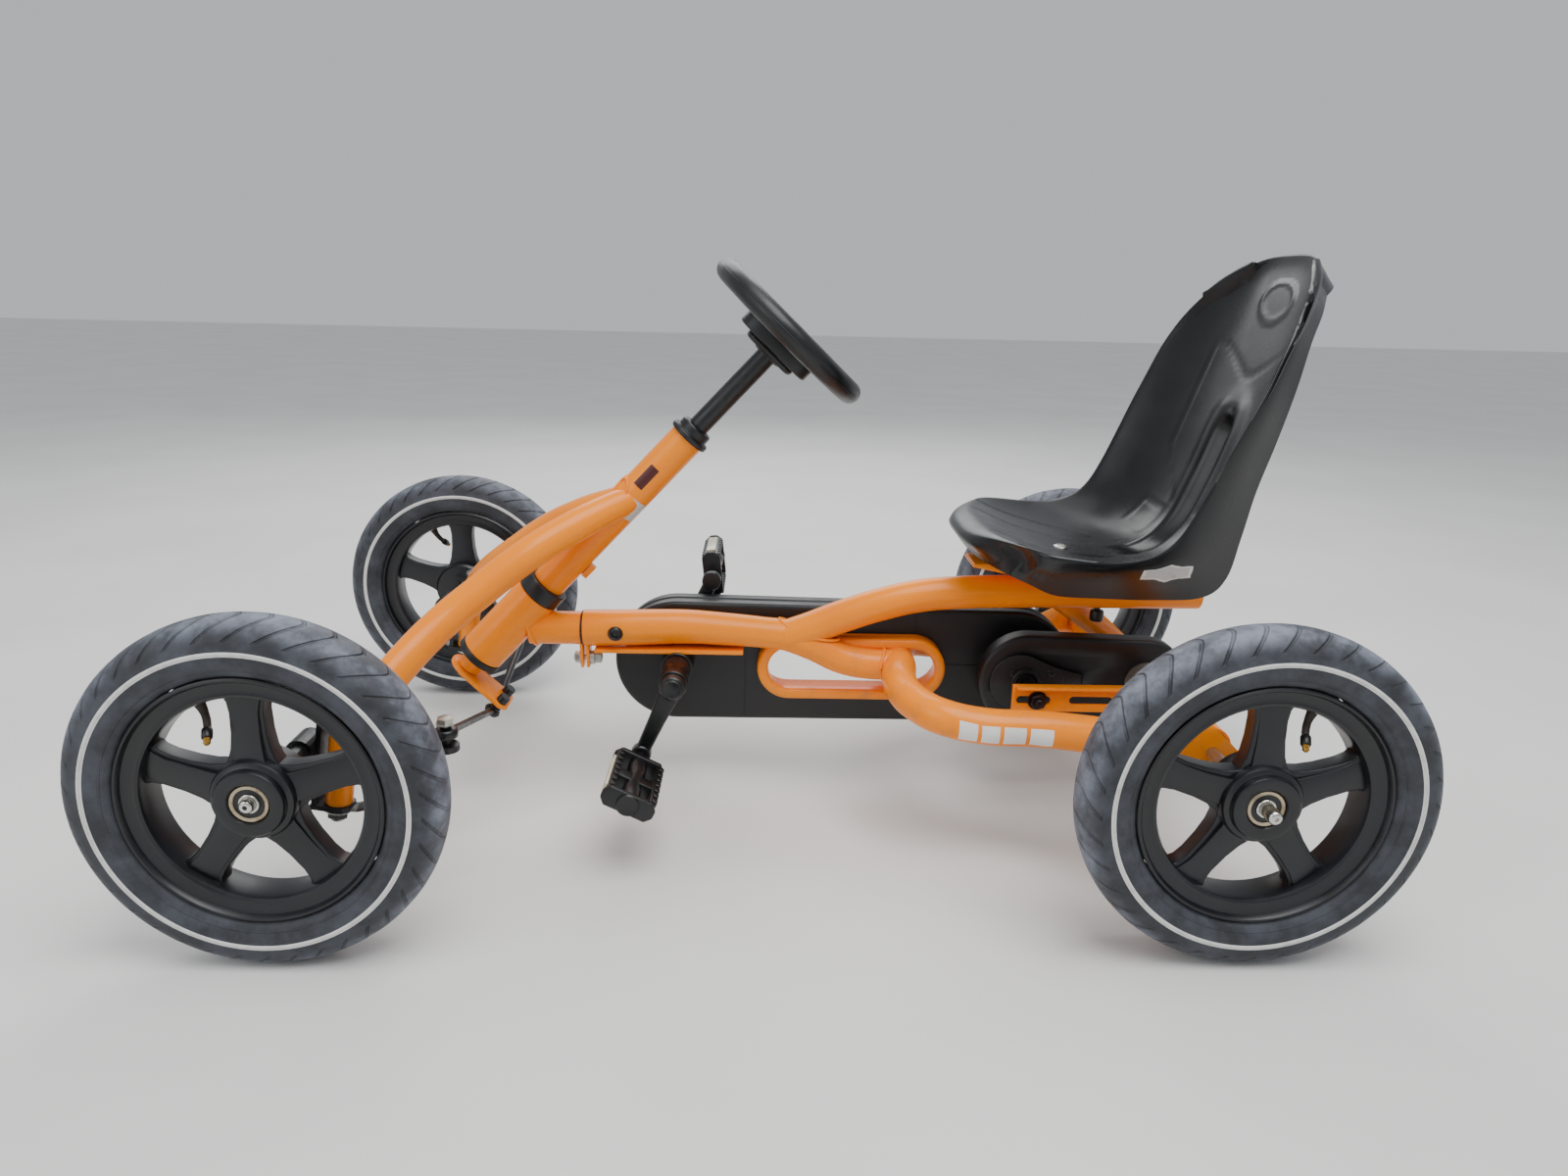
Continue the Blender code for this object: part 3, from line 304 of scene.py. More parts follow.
@dataclass(frozen=True)
class CastSteel:
    """Satin painted or plated steel with a light roll grain, worn paler in patches."""

    name: str
    colour: str
    worn: str
    roughness: float
    metallic: float = 0.0
    wear: float = 0.25
    patch_scale: float = 55.0
    grain_scale: float = 300.0
    grain_depth: float = 0.0001

    def build(self) -> Material:
        """Make the material.

        Returns:
            The finished material.
        """
        sheet = NodeSheet(self.name)
        patch = sheet.add("TexNoise", {"Vector": sheet.place, "Scale": self.patch_scale, "Detail": 5.0,
            "Roughness": 0.65})
        worn = sheet.add("MapRange", {0: patch, 1: 0.5, 2: 0.72, 3: 0.0, 4: self.wear}, **SMOOTH)
        base = sheet.add("Mix", {0: worn, 6: self.colour, 7: self.worn}, 2, **COLOURS)
        smooth, coarse = max(self.roughness - 0.08, 0.05), self.roughness + 0.12
        rough = sheet.add("MapRange", {0: patch, 1: 0.3, 2: 0.7, 3: smooth, 4: coarse}, **SMOOTH)
        grain = sheet.add("TexNoise", {"Vector": sheet.place, "Scale": self.grain_scale, "Detail": 3.0})
        grain = sheet.add("Bump", {"Distance": self.grain_depth, "Strength": 0.4, "Height": grain})
        return sheet.wire(base, rough, grain, Metallic=self.metallic)


@dataclass(frozen=True)
class TreadRubber:
    """Tyre rubber with moulded tread sipes, sidewall ribs and a pale reflective line.

    It reads the tyre's unwrapped coordinates: U once round the tyre, V across its section from
    bead to bead.  Places across are shares of the section, from 0 in the middle to 0.5 at a bead.
    """

    name: str
    sipes: float
    sweep: float
    sharp: float
    colour: str = "121418"
    dusty: str = "7A7F8C"
    line: str = "D9DAD6"
    line_at: float = 0.177
    line_width: float = 0.030
    shoulder_at: float = 0.25
    rib_at: float = 0.43
    step_at: float = 0.323
    sipe_depth: float = 0.0032
    rib_depth: float = 0.0006
    grain_depth: float = 0.0002

    def ridge(self, sheet: NodeSheet, middle: Value, place: float, half: float, fade: float) -> Socket:
        """A raised line that runs round both walls.

        Args:
            sheet: the material it is added to.
            middle: the place across the section.
            place: where the line lies.
            half: half its width.
            fade: where it has died away.

        Returns:
            1 on the line and 0 off it.
        """
        gap = sheet.add("Math", {0: middle, 1: place}, operation="SUBTRACT")
        gap = sheet.add("Math", {0: gap}, operation="ABSOLUTE")
        return sheet.add("MapRange", {0: gap, 1: half, 2: fade, 3: 1.0, 4: 0.0}, **SMOOTH)

    def build(self) -> Material:
        """Make the material.

        Returns:
            The finished material.
        """
        sheet = NodeSheet(self.name)
        unwrapped = sheet.coordinates.outputs["UV"]
        around = sheet.add("SeparateXYZ", {0: unwrapped})
        across = sheet.add("SeparateXYZ", {0: unwrapped}, 1)
        middle = sheet.add("Math", {0: across, 1: 0.5}, operation="SUBTRACT")
        middle = sheet.add("Math", {0: middle}, operation="ABSOLUTE")
        # Road dust greys the crown most.
        flow = sheet.add("TexNoise", {"Vector": sheet.place, "Scale": 30.0, "Detail": 5.0, "Roughness": 0.65})
        crown = sheet.add("MapRange", {0: middle, 1: 0.10, 2: self.shoulder_at, 3: 1.0, 4: 0.0}, **SMOOTH)
        dust = sheet.add("MapRange", {0: flow, 1: 0.35, 2: 0.7, 3: 0.15, 4: 0.75}, **SMOOTH)
        crown = sheet.add("Math", {0: crown, 1: 0.35}, operation="ADD")
        grey = sheet.add("Math", {0: dust, 1: crown}, operation="MULTIPLY", use_clamp=True)
        base = sheet.add("Mix", {0: grey, 6: self.colour, 7: self.dusty}, 2, **COLOURS)
        # Reflective line, one on each wall, slightly soiled.
        half = self.line_width * 0.5
        band = self.ridge(sheet, middle, 0.5 - self.line_at, half, half + 0.0022)
        soil = sheet.add("TexNoise", {"Vector": sheet.place, "Scale": 90.0, "Detail": 4.0})
        soil = sheet.add("MapRange", {0: soil, 1: 0.25, 2: 0.6, 3: 0.82, 4: 1.0}, **SMOOTH)
        band = sheet.add("Math", {0: band, 1: soil}, operation="MULTIPLY")
        base = sheet.add("Mix", {0: band, 6: base, 7: self.line}, 2, **COLOURS)
        # Curved sipes cut across the crown and shoulders.
        bent = sheet.add("Math", {0: middle, 1: 1.5}, operation="POWER")
        bent = sheet.add("Math", {0: bent, 1: self.sweep}, operation="MULTIPLY")
        turn = sheet.add("Math", {0: around, 1: self.sipes}, operation="MULTIPLY")
        turn = sheet.add("Math", {0: turn, 1: bent}, operation="ADD")
        turn = sheet.add("Math", {0: turn}, operation="FRACT")
        phase = sheet.add("Math", {0: turn, 1: 0.5}, operation="SUBTRACT")
        phase = sheet.add("Math", {0: phase}, operation="ABSOLUTE")
        sipe = sheet.add("MapRange", {0: phase, 1: 0.0, 2: self.sharp}, **SMOOTH)
        shoulder = sheet.add("MapRange", {0: middle, 1: self.shoulder_at - 0.015, 2: self.shoulder_at},
            **SMOOTH)
        tread = sheet.add("Math", {0: sipe, 1: shoulder}, operation="MAXIMUM")
        rib = self.ridge(sheet, middle, self.rib_at, 0.003, 0.008)
        step = self.ridge(sheet, middle, self.step_at, 0.002, 0.006)
        ribs = sheet.add("Math", {0: rib, 1: step}, operation="ADD")
        normal = sheet.add("Bump", {"Distance": self.sipe_depth, "Height": tread})
        normal = sheet.add("Bump", {"Distance": self.rib_depth, "Height": ribs, "Normal": normal})
        grain = sheet.add("TexNoise", {"Vector": sheet.place, "Scale": 700.0, "Detail": 3.0})
        normal = sheet.add("Bump", {"Distance": self.grain_depth, "Strength": 0.5, "Height": grain,
            "Normal": normal})
        rough = sheet.add("MapRange", {0: flow, 1: 0.3, 2: 0.7, 3: 0.55, 4: 0.75}, **SMOOTH)
        return sheet.wire(base, rough, normal)


class Finishes:
    """Every finish of the kart, made once and shared."""

    def __init__(self) -> None:
        """Make the materials."""
        # Baked orange powder: an even, deep colour under a low gloss.
        self.orange = PowderCoat("orange_powder_coat", "FF8F00", "F98700", 0.14).build()
        # Injection-moulded polypropylene: near black and softly shiny, greyed where it is rubbed.
        self.seat = MouldedPlastic("seat_polypropylene", "0B0C0E", "191B20", 0.3, 1.1, 0.03, 0.5).build()
        self.guard = MouldedPlastic("guard_polypropylene", "0E0F11", "212327", 0.42, 1.4, 0.06, 0.4).build()
        # Filled nylon: a bluish black with a tighter shine.
        self.rim = MouldedPlastic("rim_nylon", "0C0D11", "20232B", 0.34, 0.9, 0.04, 0.5).build()
        self.grip = MouldedPlastic("grip_plastic", "0D0E10", "1D1F23", 0.4, 1.2, 0.07, 0.35).build()
        # Moulded tyre rubber: matt and dusty, with slanting cuts over the crown.
        self.front_tyre = TreadRubber("front_tyre_rubber", 38.0, 9.0, 0.10).build()
        self.rear_tyre = TreadRubber("rear_tyre_rubber", 36.0, 7.0, 0.10).build()
        # Stoved enamel: a satin black that shows brown where it wears.
        self.black_steel = CastSteel("black_enamelled_steel", "0F1012", "3A3632", 0.36).build()
        # Zinc plate and ground steel: bright, with dull patches.
        self.zinc = CastSteel("zinc_plated_steel", "B9B7AE", "8B857A", 0.34, 1.0, 0.5).build()
        self.polished = CastSteel("polished_axle_steel", "CFCDC6", "9B948A", 0.2, 1.0, 0.3).build()
        # Bearing steel left in the wet: straw and brown stains.
        self.rusty = CastSteel("tarnished_bearing_ring", "B3A58E", "6E5236", 0.32, 1.0, 0.75).build()
        # Oiled chain: dark, with a dull metal sheen.
        self.chain = CastSteel("oiled_chain_steel", "4A443D", "2A2622", 0.45, 1.0, 0.6).build()
        # Turned brass: a warm yellow glint in the wheel.
        self.brass = CastSteel("brass_valve", "B98E46", "7C5B2B", 0.3, 1.0, 0.4).build()
        self.stem = MouldedPlastic("valve_stem_rubber", "2A211C", "4A3B31", 0.6).build()
        # Acrylic reflector: pale cream facets drawn coarse enough to show.
        self.reflector = MouldedPlastic("reflector_acrylic", "D8D2B4", "B9AE84", 0.22, 2.2, 0.25, 0.5).build()
        # Printed vinyl: flat, even colours with a slight shine.
        self.white = MouldedPlastic("white_vinyl", "E9E8E4", "CFCDC7", 0.35, 1.5, 0.02, 0.5).build()
        self.label = MouldedPlastic("grey_label_vinyl", "C9C9C6", "A6A6A4", 0.35, 1.5, 0.02, 0.5).build()
        self.dark_mark = MouldedPlastic("dark_red_vinyl", "4A1512", "2E0D0B", 0.35, 1.5, 0.02, 0.3).build()


# ------------------------------------------------------------------ workbench


class Bench:
    """Modelling moves shared by every sub-assembly."""

    @staticmethod
    def clear() -> None:
        """Leave edit mode and deselect everything."""
        if bpy.context.object and bpy.context.object.mode != "OBJECT":
            bpy.ops.object.mode_set(mode="OBJECT")
        for other in bpy.context.view_layer.objects:
            other.select_set(False)

    @classmethod
    def pick(cls, piece: Piece) -> None:
        """Make a piece the only selected and the active one.

        Args:
            piece: the piece to work on.
        """
        cls.clear()
        piece.select_set(True)
        bpy.context.view_layer.objects.active = piece

    @staticmethod
    def close() -> None:
        """Merge doubled corners, turn the faces outwards and leave edit mode."""
        bpy.ops.mesh.remove_doubles(threshold=1e-6)
        bpy.ops.mesh.normals_make_consistent(inside=False)
        bpy.ops.object.mode_set(mode="OBJECT")

    @classmethod
    def circle(cls, name: str, points: Sequence[Vector], filled: bool) -> Piece:
        """Add a circle and move its corners to the given points.

        Args:
            name: the piece's name.
            points: where its corners go, in millimetres.
            filled: whether a face closes it.

        Returns:
            The ring or disc.
        """
        cls.clear()
        bpy.ops.mesh.primitive_circle_add(vertices=len(points), radius=1.0, fill_type="NGON" if filled
            else "NOTHING")
        piece = bpy.context.object
        piece.name = name
        for corner, point in zip(piece.data.vertices, points):
            corner.co = point * MM
        return piece

    @classmethod
    def spun(cls, name: str, profile: Sequence[Flat], centre: Vector, axis: Vector, steps: int = 64,
            closed: bool = True) -> Piece:
        """Turn a profile of (radius, distance along the axis) round an axis.

        Args:
            name: the piece's name.
            profile: its outline in millimetres, closed on itself unless told otherwise.
            centre: a point on the axis in millimetres.
            axis: the direction of the axis.
            steps: how many facets go round.
            closed: whether the last point joins the first.

        Returns:
            The turned piece.
        """
        axis = axis.normalized()
        out = axis.orthogonal().normalized()
        points = [centre + axis * along + out * radius for radius, along in profile]
        piece = cls.circle(name, points, False)
        if not closed:
            mesh = bmesh.new()
            mesh.from_mesh(piece.data)
            mesh.verts.ensure_lookup_table()
            last = {mesh.verts[0], mesh.verts[len(points) - 1]}
            spare = [edge for edge in mesh.edges if set(edge.verts) == last]
            bmesh.ops.delete(mesh, geom=spare, context="EDGES_FACES")
            mesh.to_mesh(piece.data)
            mesh.free()
        cls.pick(piece)
        bpy.ops.object.mode_set(mode="EDIT")
        bpy.ops.mesh.select_all(action="SELECT")
        bpy.ops.mesh.spin(steps=steps, angle=2 * math.pi, center=centre * MM, axis=axis)
        bpy.ops.mesh.select_all(action="SELECT")
        cls.close()
        return piece

    @classmethod
    def plate(cls, name: str, outline: Sequence[Vector], push: Vector) -> Piece:
        """Fill an outline and extrude it.

        Args:
            name: the piece's name.
            outline: its corners in millimetres.
            push: how far and which way it is extruded.

        Returns:
            The plate.
        """
        piece = cls.circle(name, outline, True)
        cls.pick(piece)
        bpy.ops.object.mode_set(mode="EDIT")
        bpy.ops.mesh.select_all(action="SELECT")
        bpy.ops.mesh.extrude_region_move(TRANSFORM_OT_translate={"value": push * MM})
        bpy.ops.mesh.select_all(action="SELECT")
        bpy.ops.mesh.normals_make_consistent(inside=False)
        bpy.ops.object.mode_set(mode="OBJECT")
        return piece

    @classmethod
    def modify(cls, piece: Piece, kind: str, **settings: object) -> Piece:
        """Add a modifier with these settings and apply it.

        Args:
            piece: the piece that is changed.
            kind: the modifier's type.
            settings: its options.

        Returns:
            The same piece.
        """
        cls.pick(piece)
        change = piece.modifiers.new(kind.title(), kind)
        for key, value in settings.items():
            setattr(change, key, value)
        bpy.ops.object.modifier_apply(modifier=change.name)
        return piece

    @classmethod
    def bevel(cls, piece: Piece, width: float, segments: int = 3, angle: float = 35.0) -> Piece:
        """Round every edge sharper than an angle; the width is in millimetres."""
        return cls.modify(piece, "BEVEL", width=width * MM, segments=segments, limit_method="ANGLE",
            angle_limit=math.radians(angle), use_clamp_overlap=True)

    @classmethod
    def boolean(cls, piece: Piece, tool: Piece, operation: str = "DIFFERENCE") -> Piece:
        """Cut or join with another piece and use that piece up.

        Args:
            piece: the piece that stays.
            tool: the piece that is used up.
            operation: the kind of boolean.

        Returns:
            The piece that stays.
        """
        cls.modify(piece, "BOOLEAN", operation=operation, object=tool, solver="EXACT")
        bpy.data.objects.remove(tool, do_unlink=True)
        return piece

    @classmethod
    def join(cls, pieces: Iterable[Piece]) -> Piece:
        """Make several loose pieces one object.

        Args:
            pieces: the pieces, the first of which takes the rest.

        Returns:
            The joined piece.
        """
        pieces = list(pieces)
        cls.clear()
        for piece in pieces:
            piece.select_set(True)
        bpy.context.view_layer.objects.active = pieces[0]
        bpy.ops.object.join()
        return pieces[0]

    @classmethod
    def tube(cls, name: str, path: Sequence[Vector], radius: float, taper: Sequence[float] | None = None,
            sides: int = 10, closed: bool = False, smooth: bool = True) -> Piece:
        """A bent round tube: a curve through points with a round bevel, turned into a mesh.

        Args:
            name: the piece's name.
            path: points in millimetres.
            radius: the tube's radius in millimetres.
            taper: share of the radius at each point.
            sides: bevel resolution; a quarter of the sides less one.
            closed: whether the path closes on itself.
            smooth: whether the curve is eased between its points.

        Returns:
            The tube as a mesh.
        """
        cls.clear()
        bpy.ops.curve.primitive_bezier_curve_add(radius=1.0)
        piece = bpy.context.object
        piece.name = name
        curve = piece.data
        curve.splines.clear()
        spline = curve.splines.new("BEZIER")
        spline.bezier_points.add(len(path) - 1)
        for i, (knot, point) in enumerate(zip(spline.bezier_points, path)):
            knot.co = Vector(point) * MM
            knot.handle_left_type = "AUTO" if smooth else "VECTOR"
            knot.handle_right_type = "AUTO" if smooth else "VECTOR"
            knot.radius = taper[i] if taper else 1.0
        spline.use_cyclic_u = closed
        spline.resolution_u = 8 if smooth else 1
        curve.dimensions = "3D"
        curve.twist_mode = "Z_UP"
        curve.bevel_depth = radius * MM
        curve.bevel_resolution = sides
        curve.use_fill_caps = not closed
        cls.pick(piece)
        bpy.ops.object.convert(target="MESH")
        piece = bpy.context.object
        bpy.ops.object.mode_set(mode="EDIT")
        bpy.ops.mesh.select_all(action="SELECT")
        cls.close()
        return piece

    @classmethod
    def mirrored(cls, piece: Piece, name: str) -> Piece:
        """Copy a piece to the other side of the kart.

        Args:
            piece: the piece on the one side.
            name: the copy's name.

        Returns:
            The copy, with a mesh of its own.
        """
        mesh = piece.data.copy()
        mesh.transform(Matrix.Scale(-1.0, 4, ALONG_Y))
        mesh.flip_normals()
        twin = bpy.data.objects.new(name, mesh)
        bpy.context.scene.collection.objects.link(twin)
        return twin

    @classmethod
    def shape(cls, piece: Piece, move: Callable[[Vector], Vector]) -> Piece:
        """Move every vertex by a function of its place.

        Args:
            piece: the piece that is bent.
            move: gives the new place, both in millimetres.

        Returns:
            The same piece.
        """
        for corner in piece.data.vertices:
            corner.co = move(corner.co / MM) * MM
        return piece

    @classmethod
    def dress(cls, piece: Piece, name: str, body: str, finish: Material, slot: Slot,
            replaces: Sequence[str] = (), angle: float = 35.0) -> Piece:
        """Finish a piece: name, shading, material, and the body it rides on.

        Args:
            piece: the modelled piece.
            name: its final name.
            body: the moving body it belongs to.
            finish: its material.
            slot: the record's slot; not used.
            replaces: mechanical nodes it stands for.
            angle: edges sharper than this stay sharp.

        Returns:
            The finished piece.
        """
        cls.pick(piece)
        piece.name = name
        piece.data.name = name
        bpy.ops.object.transform_apply(location=True, rotation=True, scale=True)
        bpy.ops.object.shade_smooth_by_angle(angle=math.radians(angle))
        piece.data.materials.clear()
        piece.data.materials.append(finish)
        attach(piece, body)
        if replaces:
            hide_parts(*replaces)
        LOG.info("%s rides on %s, %d faces", name, body, len(piece.data.polygons))
        return piece


# ------------------------------------------------------------------ wheels


@dataclass
class RoadWheel:
    """One pneumatic wheel: tyre, five-spoke rim, bearing, axle tip and valve."""

    tag: str
    x: float
    y: float
    body: str
    finishes: Finishes
    axle_body: str
    valve_angle: float
    radius: float = 156.5
    half_width: float = 28.4
    opening: float = 90.2
    axle_end: float = 345.0
    spokes: int = 5

    @property
    def centre(self) -> Vector:
        """Middle of the wheel."""
        return at(self.x, self.y, 0)

    @property
    def out(self) -> Vector:
        """Direction away from the kart along the axle."""
        return ALONG_Y if self.y > 0 else -ALONG_Y

    def build(self) -> None:
        """Model and dress the whole wheel."""
        self.tyre()
        self.rim()
        self.bearing()
        self.valve()

    def tyre_section(self) -> list[Flat]:
        """Outer half of the tyre's section, bead to crown.

        Returns:
            Points (radius, distance out) in millimetres.
        """
        share = self.half_width / 28.4
        points = [(110.6, 20.2), (113, 23.2), (115.2, 24.6), (117, 25.5), (122, 27), (127.6, 28), (129.5, 28),
            (130, 28.4), (134, 28.4), (134.5, 28), (140, 27.4), (145.5, 25.2), (150, 21.4), (153.4, 16),
            (155.6, 9.5), (156.5, 3)]
        return [(r, s * share) for r, s in points]

    def tyre(self) -> None:
        """The tyre, unwrapped round and across so that its tread follows it."""
        half = self.tyre_section()
        outer = [(r, -s) for r, s in half] + [(r, s) for r, s in half[::-1]]
        inner = [(112, 17), (128, 24), (143, 21.5), (151, 12), (151, -12), (143, -21.5), (128, -24),
            (112, -17)]
        profile = outer + inner
        piece = Bench.spun("tyre", profile, self.centre, self.out, 120)
        lengths = [0]
        for first, second in zip(outer, outer[1:]):
            lengths.append(lengths[-1] + math.dist(first, second))
        across = [length / lengths[-1] for length in lengths] + [0.47] * len(inner)
        mesh = piece.data
        while mesh.uv_layers:
            mesh.uv_layers.remove(mesh.uv_layers[0])
        layer = mesh.uv_layers.new(name="section")
        places = []
        for corner in mesh.vertices:
            arm = corner.co / MM - self.centre
            along = arm.dot(self.out)
            flat = arm - self.out * along
            nearest = min(range(len(profile)), key=lambda i: (profile[i][0] - flat.length) ** 2
                + (profile[i][1] - along) ** 2)
            places.append((math.atan2(flat.z, flat.x) / (2 * math.pi), across[nearest]))
        for face in mesh.polygons:
            turns = [places[mesh.loops[loop].vertex_index][0] for loop in face.loop_indices]
            wrap = max(turns) - min(turns) > 0.5
            for loop, turn in zip(face.loop_indices, turns):
                layer.data[loop].uv = (turn + 1.0 if wrap and turn < 0 else turn,
                    places[mesh.loops[loop].vertex_index][1])
        finish = self.finishes.front_tyre if self.x > 0 else self.finishes.rear_tyre
        Bench.dress(piece, "tread_" + self.tag, self.body, finish, Slot.TYRE, ["tyre_" + self.tag], 60.0)

    def rim(self) -> None:
        """Rim channel, hub and spokes as one moulding."""
        half = [(110, 21), (110, 22.4), (108.6, 23.4), (107, 23.2), (105.8, 21.6), (104.8, 18.6), (98, 16.8),
            (94, 17.6), (91.6, 16.6), (90.2, 13.5)]
        channel = half + [(r, -s) for r, s in half[::-1]]
        channel += [(104, -17), (101.5, -10), (101.5, 10), (104, 17)]
        parts = [Bench.spun("rim", channel, self.centre, self.out, 96)]
        hub = [(6.6, -24), (20, -24), (33, -22.6), (35.8, -19.5), (35.8, 13.5), (34, 16.4), (31.4, 17.2),
            (30, 18.2), (29.6, 22), (28.6, 23.6), (27.2, 24), (22, 24), (18.2, 23.6), (17, 22), (16.6, 18.6),
            (6.6, 18.6)]
        parts.append(Bench.spun("hub", hub, self.centre, self.out, 64))
        for i in range(self.spokes):
            angle = math.pi / 2 + i * 2 * math.pi / self.spokes
            parts.append(self.spoke(angle))
        piece = Bench.join(parts)
        Bench.dress(piece, "rim_" + self.tag, self.body, self.finishes.rim, Slot.PLASTIC,
            ["wheel_" + self.tag], 32.0)

    def spoke(self, angle: float) -> Piece:
        """One spoke: flared into the hub and the rim, with an off-centre roof ridge on its face.

        Args:
            angle: the spoke's direction round the axle.

        Returns:
            The spoke as one loose piece.
        """
        out = Vector((math.cos(angle), 0, math.sin(angle)))
        over = Vector((-math.sin(angle), 0, math.cos(angle)))
        flare = [(24, 24.5), (33, 19.6), (42, 16.6), (56, 14.6), (74, 14), (84, 15.4), (90, 19), (94, 25)]
        outline = [(u, -v) for u, v in flare] + [(u, v) for u, v in flare[::-1]]
        slab = Bench.plate("spoke", [self.centre - self.out * 9.0 + out * u + over * v for u, v in outline],
            self.out * 18.0)
        Bench.bevel(slab, 3.0, 4, 30.0)
        roof = [(26, 15.5), (36, 12.4), (56, 11), (76, 11), (86, 13), (93.5, 16)]
        outline = [(u, -v) for u, v in roof] + [(u, v) for u, v in roof[::-1]]
        crown = Bench.plate("crown", [self.centre + self.out * 7.5 + out * u + over * v for u, v in outline],
            self.out * 6.4)

        def lean(point: Vector) -> Vector:
            """Drop the face away from the ridge to either side, and towards the rim.

            Args:
                point: a point of the spoke.

            Returns:
                Where it ends up.
            """
            arm = point - self.centre
            if arm.dot(self.out) < 10.0:
                return point
            far, side = arm.dot(out), arm.dot(over)
            return point - self.out * (0.05 * max(far - 40.0, 0.0) + (2.6 if side < 0 else 0.6))

        Bench.shape(crown, lean)
        Bench.bevel(crown, 1.6, 3, 25.0)
        return Bench.join([slab, crown])

    def bearing(self) -> None:
        """Bearing rings in the hub face and the plated tip of the axle."""
        race = [(16.5, 19), (16.5, 21.6), (15.9, 22.2), (13.4, 22.2), (12.9, 21.6), (12.9, 19)]
        ring = Bench.spun("race", race, self.centre, self.out, 48)
        Bench.dress(ring, "bearing_outer_" + self.tag, self.body, self.finishes.rusty, Slot.ZINC)
        shield = [(12.8, 19), (12.8, 20.9), (8.6, 20.9), (8.6, 19)]
        inner = [(8.5, 19), (8.5, 22.4), (8, 22.9), (6.6, 22.9), (6.6, 19)]
        dark = Bench.spun("shield", shield, self.centre, self.out, 48)
        Bench.dress(dark, "bearing_shield_" + self.tag, self.body, self.finishes.black_steel, Slot.PLASTIC)
        bright = Bench.spun("inner_race", inner, self.centre, self.out, 48)
        Bench.dress(bright, "bearing_inner_" + self.tag, self.body, self.finishes.polished, Slot.ZINC)
        tip = [(0, 1.2), (1.7, 1.4), (2, 3.4), (3.4, 3.6), (5, 2.9), (6.1, 1.2), (6.3, -0.5), (6.3, -20),
            (0, -20)]
        reach = Vector((self.x, math.copysign(self.axle_end - 2.5, self.y), AXLE_HEIGHT))
        cap = Bench.spun("tip", tip, reach, self.out, 32)
        Bench.dress(cap, "axle_tip_" + self.tag, self.axle_body, self.finishes.polished, Slot.ZINC)

    def valve(self) -> None:
        """Curved rubber stem, dark sleeve and brass tip."""
        angle = math.radians(self.valve_angle)
        inward = -Vector((math.cos(angle), 0, math.sin(angle)))
        root = self.centre - inward * (self.opening + 1.0)
        bend = root + inward * 11.0 + self.out * 2.0
        neck = root + inward * 19.0 + self.out * 7.0
        end = root + inward * 25.0 + self.out * 14.0
        stem = Bench.tube("stem", [root, bend, neck, end], 3.3, [1.5, 1, 0.95, 0.9], 5)
        Bench.dress(stem, "valve_stem_" + self.tag, self.body, self.finishes.stem, Slot.VALVE,
            ["valve_" + self.tag])
        aim = (end - neck).normalized()
        sleeve = Bench.spun("sleeve", [(0, -4), (3.9, -4), (4.3, -3), (4.3, 4), (3.6, 5.2), (0, 5.2)], end,
            aim, 20)
        Bench.dress(sleeve, "valve_sleeve_" + self.tag, self.body, self.finishes.black_steel, Slot.VALVE)
        thread = [(0, 5), (2.5, 5)]
        for i in range(4):
            thread += [(2.9, 5.6 + i * 1.2), (2.4, 6.2 + i * 1.2)]
        thread += [(1.9, 10.8), (0, 10.8)]
        brass = Bench.spun("thread", thread, end, aim, 20)
        Bench.dress(brass, "valve_tip_" + self.tag, self.body, self.finishes.brass, Slot.VALVE)


# ------------------------------------------------------------------ frame


